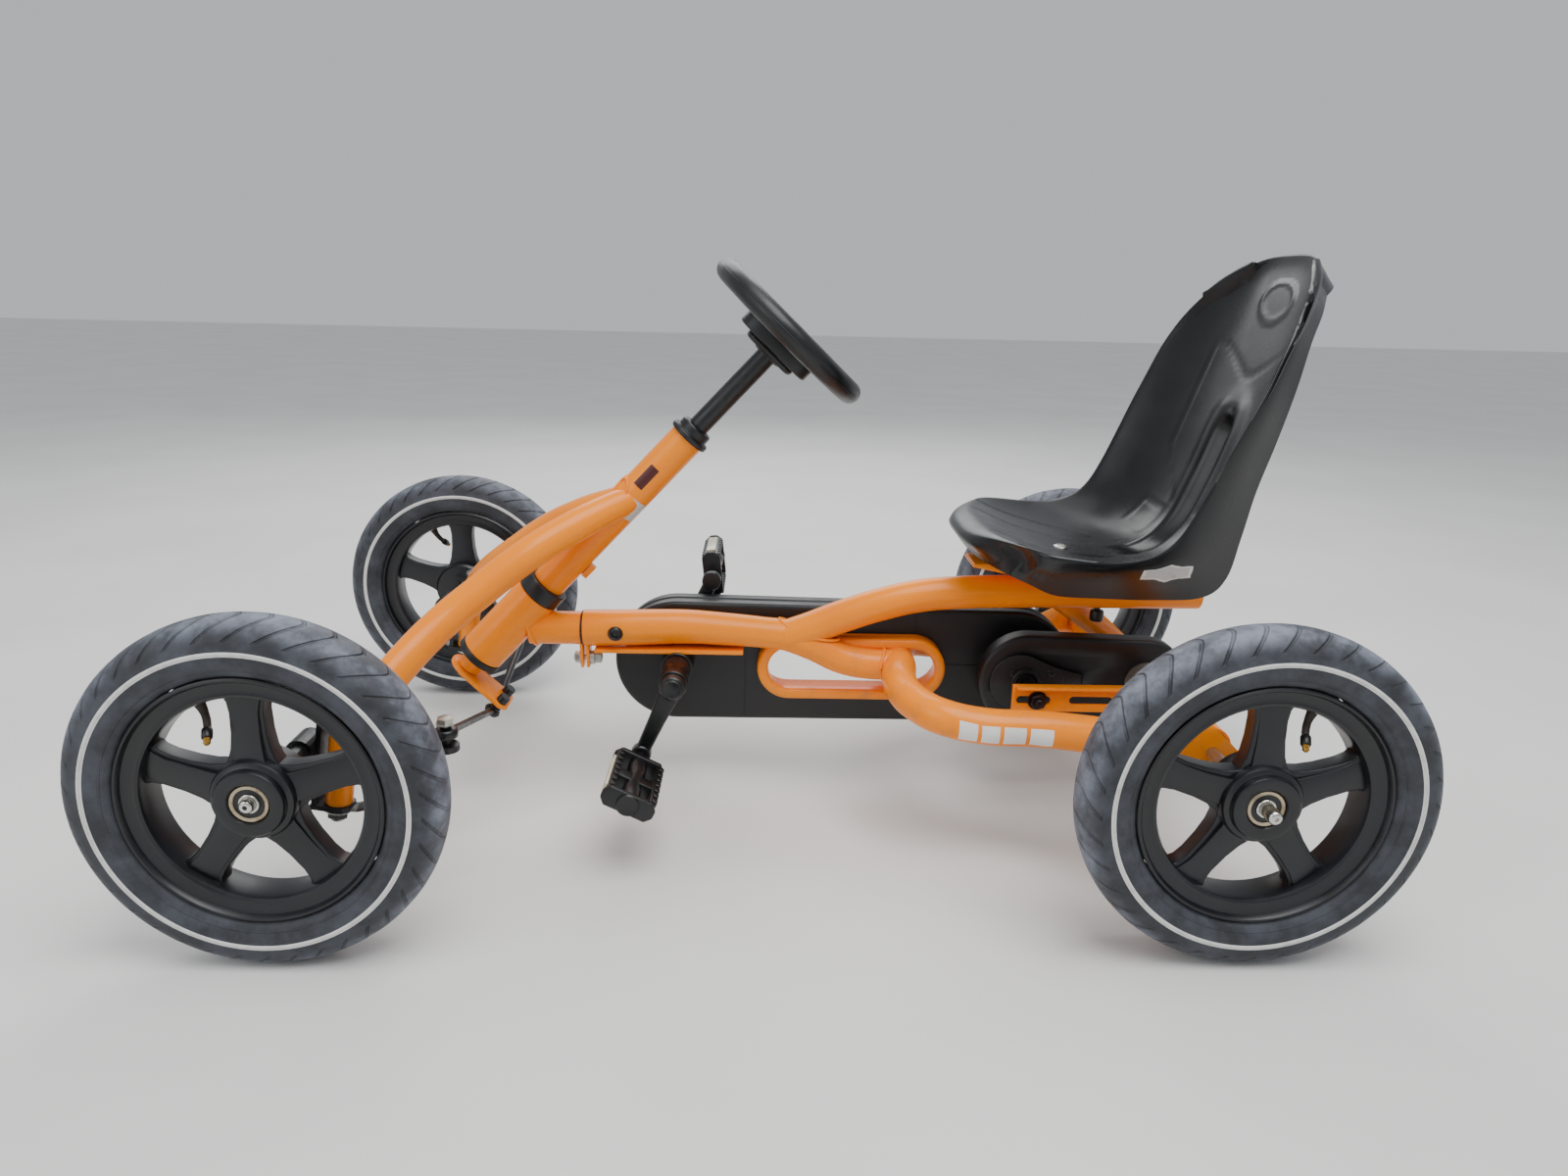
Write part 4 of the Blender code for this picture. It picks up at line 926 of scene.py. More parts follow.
@dataclass
class FrontAxle:
    """Head tube, swept fork tubes and kingpin tubes, welded up and painted."""

    finishes: Finishes
    fork_radius: float = 17.5
    head_radius: float = 19.0
    kingpin_x: float = 391.5
    kingpin_y: float = 223.0
    lean: float = math.radians(9.0)
    path: tuple[Point, ...] = ((140, 3, 196), (160, 12, 188.5), (205, 38, 168.5), (250, 66, 143.5),
                               (296, 92, 109.5), (325, 112, 86.5), (355, 150, 56.5),
                               (377, 190, 28), (391, 219, 9.5))

    def build(self) -> None:
        """Model and dress the front axle."""
        finish = self.finishes.orange
        head = [(19, 0), (19, 344), (17.5, 345), (13.8, 345.6), (13.8, 360.5), (13.2, 361), (11.7, 361),
            (11.7, 0)]
        piece = Bench.spun("head", head, HEAD_TOP, DOWN, 56)
        Bench.dress(piece, "painted_head_tube", "front_axle", finish, Slot.ORANGE, ["head_tube"])
        taper = [0.66, 0.9, 1, 1, 1, 1, 1, 1, 0.96]
        fork = Bench.tube("fork", [at(*p) for p in self.path], self.fork_radius, taper, 10)
        Bench.shape(fork, self.press)
        twin = Bench.mirrored(fork, "fork_right")
        Bench.dress(fork, "painted_fork_left", "front_axle", finish, Slot.ORANGE, ["fork_tube_left"])
        Bench.dress(twin, "painted_fork_right", "front_axle", finish, Slot.ORANGE, ["fork_tube_right"])
        self.welds()
        self.kingpins()
        self.head_bearing()
        self.labels()

    def press(self, point: Vector) -> Vector:
        """Press the fork's end taller and narrower towards the kingpin.

        Args:
            point: a point of the fork.

        Returns:
            Where it ends up.
        """
        share = min(max((point.y - 130.0) / 85.0, 0.0), 1.0)
        if share == 0.0:
            return point
        middle = min(((point - at(*p)).length, i) for i, p in enumerate(self.path))[1]
        before = at(*self.path[max(middle - 1, 0)])
        after = at(*self.path[min(middle + 1, len(self.path) - 1)])
        run = after - before
        along = (point - before).dot(run) / run.length_squared
        core = before + run * along
        arm = point - core
        return core + Vector((arm.x * (1 - 0.22 * share), arm.y * (1 - 0.22 * share),
            arm.z * (1 + 0.26 * share)))

    def welds(self) -> None:
        """Weld beads where the fork meets the head tube."""
        beads = []
        for side in (1, -1):
            ring = []
            for i in range(28):
                turn = 2 * math.pi * i / 28
                down = 120.0 + 46.0 * math.cos(turn) * 0.95
                swing = math.radians(58.0) * math.sin(turn)
                radius = self.head_radius + 0.6
                ring.append(on_axis(down, radius * math.cos(swing + side * 0.55),
                    radius * math.sin(swing + side * 0.55)))
            beads.append(Bench.tube("bead", ring, 1.5, None, 3, closed=True))
        bead = Bench.join(beads)
        Bench.dress(bead, "weld_beads_fork", "front_axle", self.finishes.orange, Slot.ORANGE, angle=70.0)

    def kingpins(self) -> None:
        """Kingpin tubes with rounded edges."""
        up = Vector((-math.sin(self.lean), 0, math.cos(self.lean)))
        for side, tag in ((1, "left"), (-1, "right")):
            centre = at(self.kingpin_x, side * self.kingpin_y, 0)
            tube = Bench.spun("kingpin", [(12.4, -57), (12.6, -56), (12.6, 32.5), (12, 34), (8.6, 34),
                (8.6, -58), (12, -58)], centre, up, 40)
            Bench.dress(tube, "painted_kingpin_tube_" + tag, "front_axle", self.finishes.orange, Slot.ORANGE,
                ["kingpin_tube_" + tag])

    def head_bearing(self) -> None:
        """Flange and stepped collar at the top of the head tube."""
        profile = [(11.6, 0.3), (20.6, 0.3), (22.2, 0.8), (22.6, 2.2), (22.6, 5.2), (21.6, 6.4), (18.6, 6.8),
            (18, 7.6), (18, 14.8), (17, 16.2), (14.2, 17), (11.6, 17)]
        collar = Bench.spun("collar", profile, HEAD_TOP, -DOWN, 48)
        Bench.dress(collar, "head_collar", "front_axle", self.finishes.grip, Slot.PLASTIC, ["head_cap"])

    def labels(self) -> None:
        """A small dark mark and a plain grey label wrapped on the head tube, both blank."""
        specs = (("head_mark", 44, 72, math.radians(62.0), math.radians(96.0), self.finishes.dark_mark),
            ("head_label", 84, 108, math.radians(98.0), math.radians(158.0), self.finishes.label))
        for name, low, high, start, end, finish in specs:
            Bench.clear()
            bpy.ops.mesh.primitive_grid_add(x_subdivisions=12, y_subdivisions=2, size=2.0)
            piece = bpy.context.object
            radius = self.head_radius + 0.25
            for corner in piece.data.vertices:
                turn = start + (end - start) * (corner.co.x + 1.0) / 2
                down = low + (high - low) * (corner.co.y + 1.0) / 2
                corner.co = on_axis(down, radius * math.cos(turn), radius * math.sin(turn)) * MM
            Bench.modify(piece, "SOLIDIFY", thickness=0.2 * MM, offset=0.0)
            Bench.dress(piece, name, "front_axle", finish, Slot.PLASTIC)


@dataclass
class MainFrame:
    """Main tube, seat tube, bent rear tube and the sleeve that the front axle swings in."""

    finishes: Finishes
    main: tuple[Flat, ...] = ((203.8, 44.1), (145.6, 45.7), (90.7, 47.4), (46.7, 45.2), (2.6, 41.9),
        (-19.6, 39.4), (-52, 28), (-87, 12), (-118, 6.2), (-146, 5.9))
    seat_rail: tuple[Flat, ...] = ((-22, 38), (-46, 46.5), (-85, 62.5), (-128.6, 77.5), (-172, 88),
                                   (-215.7, 92.5), (-260, 94.3), (-482.5, 97))
    rear: tuple[Point, ...] = ((-462, 211.5, -13), (-440, 211.5, -7), (-424, 211, -2),
                               (-400, 202, -2), (-350, 170, -6.5), (-281, 138, -11.5),
                               (-220, 131, -11.5), (-181, 120, -6.5), (-163, 100, -4.2),
                               (-150, 78, 0.5), (-146, 50, 4.5), (-151, 0, 5.9))

    def build(self) -> None:
        """Model and dress the frame."""
        finish = self.finishes.orange
        taper = [1, 0.985, 0.94, 0.9, 0.855, 0.855, 0.855, 0.855, 0.855, 0.855]
        main = Bench.tube("main", [at(x, 0, h) for x, h in self.main], 20.5, taper, 10)
        Bench.dress(main, "painted_main_tube", "frame", finish, Slot.ORANGE, ["main_tube"])
        seat = Bench.tube("seat_rail", [at(x, 0, h) for x, h in self.seat_rail], 18.5, None, 10)
        Bench.dress(seat, "painted_seat_tube", "frame", finish, Slot.ORANGE, ["seat_tube"])
        half = [at(*p) for p in self.rear]
        path = half + [at(x, -y, h) for x, y, h in self.rear[-2::-1]]
        rear = Bench.tube("rear", path, 19.0, None, 10)
        Bench.shape(rear, self.flatten)
        self.trim(rear)
        Bench.dress(rear, "painted_rear_tube", "frame", finish, Slot.ORANGE, ["rear_tube"])
        self.socket()
        self.welds()
        self.stripe()
        self.carried()

    def flatten(self, point: Vector) -> Vector:
        """Press the rear tube's ends into upright plates by the axle.

        Args:
            point: a point of the tube.

        Returns:
            Where it ends up.
        """
        share = min(max((-352.0 - point.x) / 58.0, 0.0), 1.0)
        if share == 0.0:
            return point
        share = share * share * (3 - 2 * share)
        side = math.copysign(1.0, point.y)
        knots = self.rear[:6]
        for first, second in zip(knots, knots[1:]):
            if first[0] <= point.x <= second[0]:
                part = (point.x - first[0]) / (second[0] - first[0])
                core_y = first[1] + (second[1] - first[1]) * part
                core_h = first[2] + (second[2] - first[2]) * part
                break
        else:
            core_y, core_h = knots[0][1], knots[0][2]
        core_z = AXLE_HEIGHT + core_h
        return Vector((point.x, side * core_y + (point.y - side * core_y) * (1 - 0.76 * share),
            core_z + (point.z - core_z) * (1 + 0.46 * share)))

    def trim(self, rear: Piece) -> None:
        """Cut the top rear corner off each plate."""
        for side in (1, -1):
            outline = [(-416, 33), (-500, -47), (-520, 80), (-416, 80)]
            tool = Bench.plate("corner", [at(x, side * 190, h) for x, h in outline], ALONG_Y * side * 45.0)
            Bench.boolean(rear, tool)

    def socket(self) -> None:
        """Pivot sleeve, plug-in stub and clamp ear."""
        sleeve = Bench.spun("sleeve", [(24.6, 243.2), (25.2, 242.6), (25.2, 335.4), (24.6, 336), (22.2, 336),
            (22.2, 242.4), (24.4, 242.4)], HEAD_TOP, DOWN, 56)
        stub = Bench.tube("stub", [at(x, 0, 44.1) for x in (204.8, 225, 250, 264)], 18.6, None, 10)
        ears = []
        for x in (198.4, 205):
            outline = [(-9.5, 2), (-6.5, -1), (6.5, -1), (9.5, 2), (13.5, 30), (-13.5, 30)]
            ear = Bench.plate("ear", [at(x, v, u) for v, u in outline], Vector((3, 0, 0)))
            ears.append(Bench.bevel(ear, 0.6, 2))
        bead = []
        for i in range(24):
            turn = 2 * math.pi * i / 24
            bead.append(at(262 + 5.5 * math.sin(turn), 19 * math.cos(turn), 44.1 + 19 * math.sin(turn)))
        weld = Bench.tube("bead", bead, 2.0, None, 3, closed=True)
        lip = []
        for i in range(24):
            turn = 2 * math.pi * i / 24
            lip.append(at(205.6, 18.9 * math.cos(turn), 44.1 + 18.9 * math.sin(turn)))
        seam = Bench.tube("lip", lip, 1.1, None, 3, closed=True)
        Bench.dress(seam, "joint_seam", "frame", self.finishes.dark_mark, Slot.ORANGE)
        piece = Bench.join([sleeve, stub, *ears, weld])
        Bench.dress(piece, "painted_pivot_socket", "frame", self.finishes.orange, Slot.ORANGE,
            ["pivot_socket"])

    def welds(self) -> None:
        """Weld beads: seat tube on main tube, and main tube on rear tube."""
        saddle = []
        for i in range(30):
            turn = 2 * math.pi * i / 30
            x = -48.0 + 34.0 * math.cos(turn)
            y = 15.5 * math.sin(turn)
            h = 39.4 + 17.0 - 0.33 * (-x - 19.6) - 0.018 * y * y
            saddle.append(at(x, y, h))
        first = Bench.tube("bead", saddle, 1.6, None, 3, closed=True)
        collar = []
        for i in range(26):
            turn = 2 * math.pi * i / 26
            collar.append(at(-131 + 3 * math.cos(2 * turn), 17.9 * math.cos(turn), 6 + 17.9 * math.sin(turn)))
        second = Bench.tube("bead", collar, 1.8, None, 3, closed=True)
        piece = Bench.join([first, second])
        Bench.dress(piece, "weld_beads_frame", "frame", self.finishes.orange, Slot.ORANGE, angle=70.0)

    def stripe(self) -> None:
        """A plain broken white stripe on the outside of the left leg."""
        spans = ((-196, -214), (-218, -236), (-240, -262), (-266, -288))
        parts = []
        for start, end in spans:
            Bench.clear()
            bpy.ops.mesh.primitive_grid_add(x_subdivisions=8, y_subdivisions=8, size=2.0)
            piece = bpy.context.object
            for corner in piece.data.vertices:
                x = start + (end - start) * (corner.co.x + 1.0) / 2
                turn = math.radians(-8.0 + 30.0 * corner.co.y)
                for one, two in zip(self.rear, self.rear[1:]):
                    if one[0] <= x <= two[0]:
                        part = (x - one[0]) / (two[0] - one[0])
                        core = at(x, one[1] + (two[1] - one[1]) * part, one[2] + (two[2] - one[2]) * part)
                        break
                corner.co = (core + Vector((0, math.cos(turn), math.sin(turn))) * 19.6) * MM
            parts.append(piece)
        piece = Bench.join(parts)
        Bench.modify(piece, "SHRINKWRAP", target=bpy.data.objects["painted_rear_tube"], offset=0.25 * MM,
            wrap_method="NEAREST_SURFACEPOINT", wrap_mode="ABOVE_SURFACE")
        Bench.modify(piece, "SOLIDIFY", thickness=0.2 * MM, offset=0.0)
        Bench.dress(piece, "side_stripe", "frame", self.finishes.white, Slot.PLASTIC)

    def carried(self) -> None:
        """Small welded parts with softened edges that replace their plain solids."""
        axle = []
        for low, high in ((46, 206), (-206, -10)):
            profile = [(22, low + 0.6), (22, high - 0.6), (21.4, high), (19, high), (19, low), (21.4, low)]
            axle.append(Bench.spun("axle_tube", profile, at(-424, 0, 0), ALONG_Y, 48))
        piece = Bench.join(axle)
        Bench.dress(piece, "painted_axle_tubes", "frame", self.finishes.orange, Slot.ORANGE,
            ["axle_tube_left", "axle_tube_right"])
        brace = Bench.tube("brace", [at(-316, 0, 94), at(-370, -30, 54), at(-424, -60, 14)], 12.0, None, 8)
        Bench.dress(brace, "painted_rail_brace", "frame", self.finishes.orange, Slot.ORANGE, ["rail_brace"])
        bar = Bench.plate("bar", [at(x, y, 19.4) for x, y in ((26, -15), (192, -15), (192, 15), (26, 15))],
            Vector((0, 0, 3.9)))
        Bench.bevel(bar, 0.8, 2)
        Bench.dress(bar, "painted_mounting_bar", "frame", self.finishes.orange, Slot.ORANGE, ["mounting_bar"])


# ------------------------------------------------------------------ steering


@dataclass
class Steering:
    """Column, hand wheel with padded centre, cover under it and the lever at the foot."""

    finishes: Finishes
    plane: float = -155.0
    half_height: float = 88.0
    half_width: float = 106.0
    grip: float = 11.8

    def build(self) -> None:
        """Model and dress the steering."""
        profile = [(0, -149), (10.4, -149), (11.25, -148), (11.25, 361), (0, 361)]
        column = Bench.spun("column", profile, HEAD_TOP, DOWN, 40)
        Bench.dress(column, "enamelled_column", "steering", self.finishes.black_steel, Slot.BLACK_PAINT,
            ["steering_column"])
        self.hand_wheel()
        self.cover()
        self.lever()

    def ellipse(self, turn: float, shrink: float = 0.0) -> Vector:
        """A point on the rim's centre line."""
        return on_axis(self.plane, (self.half_height - shrink) * math.cos(turn),
            (self.half_width - shrink) * math.sin(turn))

    def hand_wheel(self) -> None:
        """Rim with moulded grip, three spokes and a domed hub."""
        rim = Bench.tube("rim", [self.ellipse(2 * math.pi * i / 24) for i in range(24)], self.grip, None, 7,
            closed=True)
        spokes = []
        shapes = ([(-17, 24), (17, 24), (15, 70), (20, 94), (-20, 94), (-15, 70)],
            [(-17, -24), (-15, -70), (-20, -94), (20, -94), (15, -70), (17, -24)],
            [(-24, -15), (-60, -12), (-78, -17), (-78, 17), (-60, 12), (-24, 15)],)
        for shape in shapes:
            spoke = Bench.plate("spoke", [on_axis(self.plane + 4.5, u, v) for u, v in shape], DOWN * -9.0)
            spokes.append(Bench.bevel(spoke, 3.2, 4, 30.0))
        outline = []
        for i in range(32):
            turn = 2 * math.pi * i / 32
            outline.append(on_axis(self.plane + 5.0, 36.0 * math.copysign(abs(math.cos(turn)) ** 0.7,
                math.cos(turn)), 31.0 * math.copysign(abs(math.sin(turn)) ** 0.7, math.sin(turn))))
        hub = Bench.plate("hub", outline, DOWN * -13.0)
        Bench.bevel(hub, 4.2, 5, 30.0)
        pad = Bench.plate("pad", [on_axis(self.plane - 7, u * 0.62, v * 0.62) for u, v in ((36, -20),
            (36, 20), (20, 32), (-20, 32), (-36, 20), (-36, -20), (-20, -32), (20, -32))], DOWN * -3.5)
        Bench.bevel(pad, 1.6, 3, 30.0)
        seam = Bench.tube("seam", [self.ellipse(2 * math.pi * i / 24, -self.grip + 0.2) for i in range(24)],
            0.5, None, 1, closed=True)
        piece = Bench.join([rim, *spokes, hub, pad, seam])
        Bench.dress(piece, "hand_wheel", "steering", self.finishes.grip, Slot.PLASTIC, ["steering_wheel"],
            40.0)

    def cover(self) -> None:
        """Two-step cover behind the hand wheel, clamped on the column."""
        outline = []
        for i in range(36):
            turn = 2 * math.pi * i / 36
            outline.append((50.0 * math.copysign(abs(math.cos(turn)) ** 0.55, math.cos(turn)),
                33.0 * math.copysign(abs(math.sin(turn)) ** 0.55, math.sin(turn))))
        deck = Bench.plate("deck", [on_axis(-147.5, u * 0.9, v) for u, v in outline], DOWN * 19.0)
        Bench.bevel(deck, 2.6, 4, 30.0)
        boss = Bench.plate("boss", [on_axis(-130, u * 0.62, v * 0.72) for u, v in outline], DOWN * 8.5)
        Bench.bevel(boss, 4.5, 4, 30.0)
        collar = Bench.spun("collar", [(11.4, -130), (17.5, -130), (17, -121.5), (15.6, -119.8),
            (11.4, -119.8)], HEAD_TOP, DOWN, 36)
        tabs = []
        for u, v in ((44, 22), (44, -22), (-44, 22), (-44, -22)):
            tab = Bench.spun("tab", [(0, -138.5), (5, -138.5), (4.6, -133.6), (0, -133.6)],
                HEAD_TOP + ACROSS * u * 0.82 + ALONG_Y * v * 0.9, DOWN, 20)
            tabs.append(tab)
        piece = Bench.join([deck, boss, collar, *tabs])
        Bench.dress(piece, "wheel_back_cover", "steering", self.finishes.grip, Slot.PLASTIC, ["wheel_cover"],
            40.0)

    def lever(self) -> None:
        """Folded orange lever with its two ball joints and the lock nut."""
        outline = []
        for i in range(15):
            turn = -math.pi / 2 + math.pi * i / 14
            outline.append((20.0 * math.cos(turn), 20.0 * math.sin(turn)))
        outline += [(-56, 22), (-63, 16), (-63, -16), (-56, -22)]
        plate = Bench.plate("plate", [on_axis(362.2, u, v) for u, v in outline], DOWN * 4.2)
        Bench.bevel(plate, 0.9, 2, 30.0)
        lips = []
        for side in (1, -1):
            edge = [on_axis(362.4, u, side * v) for u, v in ((4, 18.6), (-56, 21), (-56, 18.4), (4, 16))]
            lips.append(Bench.bevel(Bench.plate("lip", edge, DOWN * 5.2), 0.7, 2, 30.0))
        piece = Bench.join([plate, *lips])
        Bench.dress(piece, "painted_pitman_lever", "steering", self.finishes.orange, Slot.ORANGE,
            ["pitman_lever"])
        nut = Bench.spun("nut", [(0, 366.5), (9.5, 366.5), (10, 367.3), (10, 373), (9.2, 374), (6, 374.2),
            (5, 376), (0, 376)], HEAD_TOP, DOWN, 6)
        Bench.dress(nut, "lever_lock_nut", "steering", self.finishes.black_steel, Slot.BLACK_PAINT)
        for side, tag in ((1, "left"), (-1, "right")):
            base = HEAD_TOP - ACROSS * 52.6 + ALONG_Y * 13.0 * side
            stud = Bench.spun("stud", [(0, 354), (6, 354), (6.5, 355), (6.5, 361.8), (5.2, 362), (5.2, 370),
                (6.4, 370.6), (6.4, 372.4), (0, 372.4)], base, DOWN, 24)
            Bench.dress(stud, "lever_ball_stud_" + tag, "steering", self.finishes.black_steel,
                Slot.BLACK_PAINT)


@dataclass
class SteeringArms:
    """Kingpin hardware and tie rods, as darker worn steel."""

    finishes: Finishes
    kingpin_x: float = 391.5
    kingpin_y: float = 223.0
    lean: float = math.radians(9.0)

    def build(self) -> None:
        """Model and dress both sides."""
        up = Vector((-math.sin(self.lean), 0, math.cos(self.lean)))
        for side, tag in ((1, "left"), (-1, "right")):
            centre = at(self.kingpin_x, side * self.kingpin_y, 0)
            washer = Bench.spun("washer", [(8.5, -64.4), (12.6, -64.4), (12.9, -65.2), (12.6, -66),
                (8.5, -66)], centre, up, 32)
            Bench.dress(washer, "kingpin_washer_" + tag, f"knuckle_{tag}_body", self.finishes.zinc, Slot.ZINC)
            nut = Bench.spun("nut", [(0, -66.2), (9, -66.2), (9.8, -67), (9.8, -72.6), (9, -73.6),
                (6.4, -73.9), (6.2, -76.4), (0, -76.6)], centre, up, 6)
            Bench.dress(nut, "kingpin_nut_" + tag, f"knuckle_{tag}_body", self.finishes.black_steel,
                Slot.ZINC)
            inner = on_axis(377.5, -52.6, side * 13)
            outer = at(303.5, side * 200, 3.5)
            along = (outer - inner).normalized()
            rod = Bench.tube("rod", [inner + along * 6, outer - along * 6], 4.0, None, 5, smooth=False)
            ball = Bench.spun("ball", [(0, -5.6), (5, -5.2), (8.2, -3), (9.6, 0), (8.2, 3), (5, 4.8),
                (0, 5.2)], inner, DOWN, 28)
            eye = Bench.spun("eye", [(5.4, -5), (9, -5), (11, -3.6), (11.6, 0), (11, 3.6), (9, 5), (5.4, 5)],
                outer, Vector((0, 0, 1)), 28)
            neck = Bench.tube("neck", [outer - along * 26, outer - along * 9], 4.9, None, 5, smooth=False)
            piece = Bench.join([rod, ball, eye, neck])
            Bench.dress(piece, "steel_tie_rod_" + tag, f"tie_rod_{tag}_body", self.finishes.black_steel,
                Slot.BLACK_PAINT, ["tie_rod_" + tag], 50.0)
            cap = Bench.spun("cap", [(5, 12.6), (9.5, 12.6), (9.9, 13.4), (9.4, 14.2), (8.4, 14.4), (8, 19),
                (5.4, 20.2), (0, 20.4), (0, 12.6)], at(303.5, side * 200, 0), Vector((0, 0, 1)), 6)
            Bench.dress(cap, "tie_rod_nut_" + tag, f"knuckle_{tag}_body", self.finishes.zinc, Slot.ZINC)


# ------------------------------------------------------------------ seat


@dataclass
class BucketSeat:
    """Moulded seat: a curved sitting face with a spine channel, a rounded rim and a deep skirt."""

    finishes: Finishes
    rows: tuple[tuple[Flat, Point, Point], ...] = (
        ((-207, 175), (-251, 116, 172), (-243, 108, 142)),
        ((-234, 177), (-262, 140, 175), (-262, 116, 135)),
        ((-275, 161), (-284, 153, 175), (-288, 119, 125)),
        ((-325, 149), (-333, 157, 172), (-330, 120, 123)),
        ((-375, 144), (-368, 157, 180), (-385, 121, 122.5)),
        ((-415, 150), (-387, 156, 198), (-435, 121, 126)),
        ((-447, 178), (-401, 156, 227), (-457, 121, 146)),
        ((-468, 224), (-416, 157, 261), (-466, 122, 190)),
        ((-486, 278), (-432, 159, 297), (-473, 124, 235)),
        ((-503, 332), (-449, 159, 334), (-484, 127, 283)),
        ((-517, 380), (-463, 154, 366), (-496, 126, 333)),
        ((-527, 420), (-480, 143, 396), (-508, 117, 376)),
        ((-533, 447), (-500, 118, 426), (-524, 98, 402)),
        ((-534, 463), (-519, 78, 447), (-541, 68, 420)),
    )
    across: int = 84
    along: int = 130
    skirt_steps: int = 8
    wall: float = 3.5
    climb: float = 520.0
    channel: tuple[float, float] = (0.40, 0.61)
    channel_depth: float = 15.0
    channel_width: tuple[float, float] = (9, 21)
    shoulder_at: float = 30.0
    panel_line: float = 1.5
    plate_line: float = 1.4
    crease_depth: float = 1.1
    lozenge_at: float = 0.835
    lozenge_size: tuple[float, float] = (38, 25)
    badge_middle: Vector = field(default_factory=lambda: at(-390, 152, 151))

    def row_at(self, place: float) -> list[float]:
        """Ease between the rows of the seat.

        Args:
            place: from 0, the front lip, to 1, the top.

        Returns:
            A row's eight numbers at that place.
        """
        flat = [[*mid, *rim, *skirt] for mid, rim, skirt in self.rows]
        spot = min(max(place, 0.0), 1.0) * (len(flat) - 1)
        i = min(int(spot), len(flat) - 2)
        t = spot - i
        before = flat[max(i - 1, 0)]
        after = flat[min(i + 2, len(flat) - 1)]
        found = []
        for a, b, c, d in zip(before, flat[i], flat[i + 1], after):
            found.append(0.5 * (2 * b + (c - a) * t + (2 * a - 5 * b + 4 * c - d) * t * t
                + (3 * b - a - 3 * c + d) * t ** 3))
        return found

    def face_point(self, across: float, along: float) -> Vector:
        """A point of the sitting face.

        Args:
            across: share of the half width, from -1 to 1.
            along: share of the way up, from 0 to 1.

        Returns:
            The point in millimetres.
        """
        mid_x, mid_h, rim_x, wide, rim_h, _, _, _ = self.row_at(along)
        lift = abs(across) ** 3
        return at(mid_x + (rim_x - mid_x) * lift, wide * across, mid_h + (rim_h - mid_h) * lift)

    def edge_point(self, across: float, along: float) -> Vector:
        """A point of the skirt's free edge below a point of the rim.

        Args:
            across: share of the half width, from -1 to 1.
            along: share of the way up, from 0 to 1.

        Returns:
            The point in millimetres.
        """
        mid_x, mid_h, _, _, _, skirt_x, skirt_w, skirt_h = self.row_at(along)
        if along < 0.5 / self.along or along > 1 - 0.5 / self.along:
            drop_x, drop_h = (-6, -24) if along < 0.5 else (-31, -30)
            bend = abs(across) ** 3
            return at((mid_x + drop_x) * (1 - bend) + skirt_x * bend, skirt_w * across,
                (mid_h + drop_h) * (1 - bend) + skirt_h * bend)
        return at(skirt_x, math.copysign(skirt_w, across), skirt_h)

    def outward(self, across: float, along: float) -> Vector:
        """The direction in which the face runs off its rim at a point of its border."""
        inner = self.face_point(across * 0.97, 0.5 + (along - 0.5) * 0.985)
        return (self.face_point(across, along) - inner).normalized()

    def sink(self, across: float, along: float) -> float:
        """How far the face is pressed in for the spine channel and the panels.

        Args:
            across: share of the half width, from -1 to 1.
            along: share of the way up, from 0 to 1.

        Returns:
            Millimetres, less than 0 where it is raised.
        """
        def step(value: float, low: float, high: float) -> float:
            """Ease from 0 to 1 between two limits.

            Args:
                value: the value.
                low: where it starts.
                high: where it is done.

            Returns:
                The eased share.
            """
            t = min(max((value - low) / (high - low), 0.0), 1.0)
            return t * t * (3 - 2 * t)

        row = self.row_at(along)
        y = abs(across) * row[3]
        # Spine channel from the back of the pan up to the middle of the backrest.
        start, end = self.channel
        cap = max(along - end, 0.0) * self.climb
        reach = math.hypot(y, cap)
        channel = self.channel_depth * (1 - step(reach, *self.channel_width))
        channel *= step(along, start - 0.10, start + 0.03)
        # Raised shoulders beside the channel.
        shoulder = -3.0 * math.exp(-((reach - self.shoulder_at) / 11.0) ** 2)
        shoulder *= step(along, start, start + 0.12)
        if along > end + 0.05:
            shoulder *= 1 - step(along, end + 0.02, end + 0.10)
        # A winged panel line round the channel's head, notched in the middle, and two small plates below.
        line = 0.0
        wing_top = 0.695 + 0.055 * min(y / 70.0, 1.0) ** 1.2
        wing_side = 88.0 - 46.0 * step(0.58 - along, 0.0, 0.10)
        outer = min(wing_side - y, (wing_top - along) * self.climb)
        if y > 26.0 or along > 0.65:
            edge = min(outer, max(reach - 27.0, (along - 0.505) * self.climb if y < 40 else 99.0))
            edge = min(edge, (along - 0.495) * self.climb)
            line += self.panel_line * math.exp(-(edge / 1.6) ** 2)
        plate = min(min(along - 0.405, 0.470 - along) * self.climb, min(y - 44.0, 84.0 - y))
        line += self.plate_line * math.exp(-(plate / 1.5) ** 2)
        # A blank raised lozenge high on the back.
        wide, tall = self.lozenge_size
        lozenge = math.hypot(y / wide, (along - self.lozenge_at) * self.climb / tall)
        line -= 1.2 * (1 - step(lozenge, 0.92, 1.0)) - 0.8 * (1 - step(lozenge, 0.74, 0.82))
        # Creases fanning out over the pan.
        for inner, outer in ((26, 62), (60, 118)):
            if 0.05 < along < 0.33:
                crease = inner + (outer - inner) * ((0.33 - along) / 0.28) ** 0.8
                fold = self.crease_depth * math.exp(-((y - crease) / 2.2) ** 2)
                line += fold * step(along, 0.05, 0.10) * (1 - step(along, 0.27, 0.33))
        return channel + shoulder + line

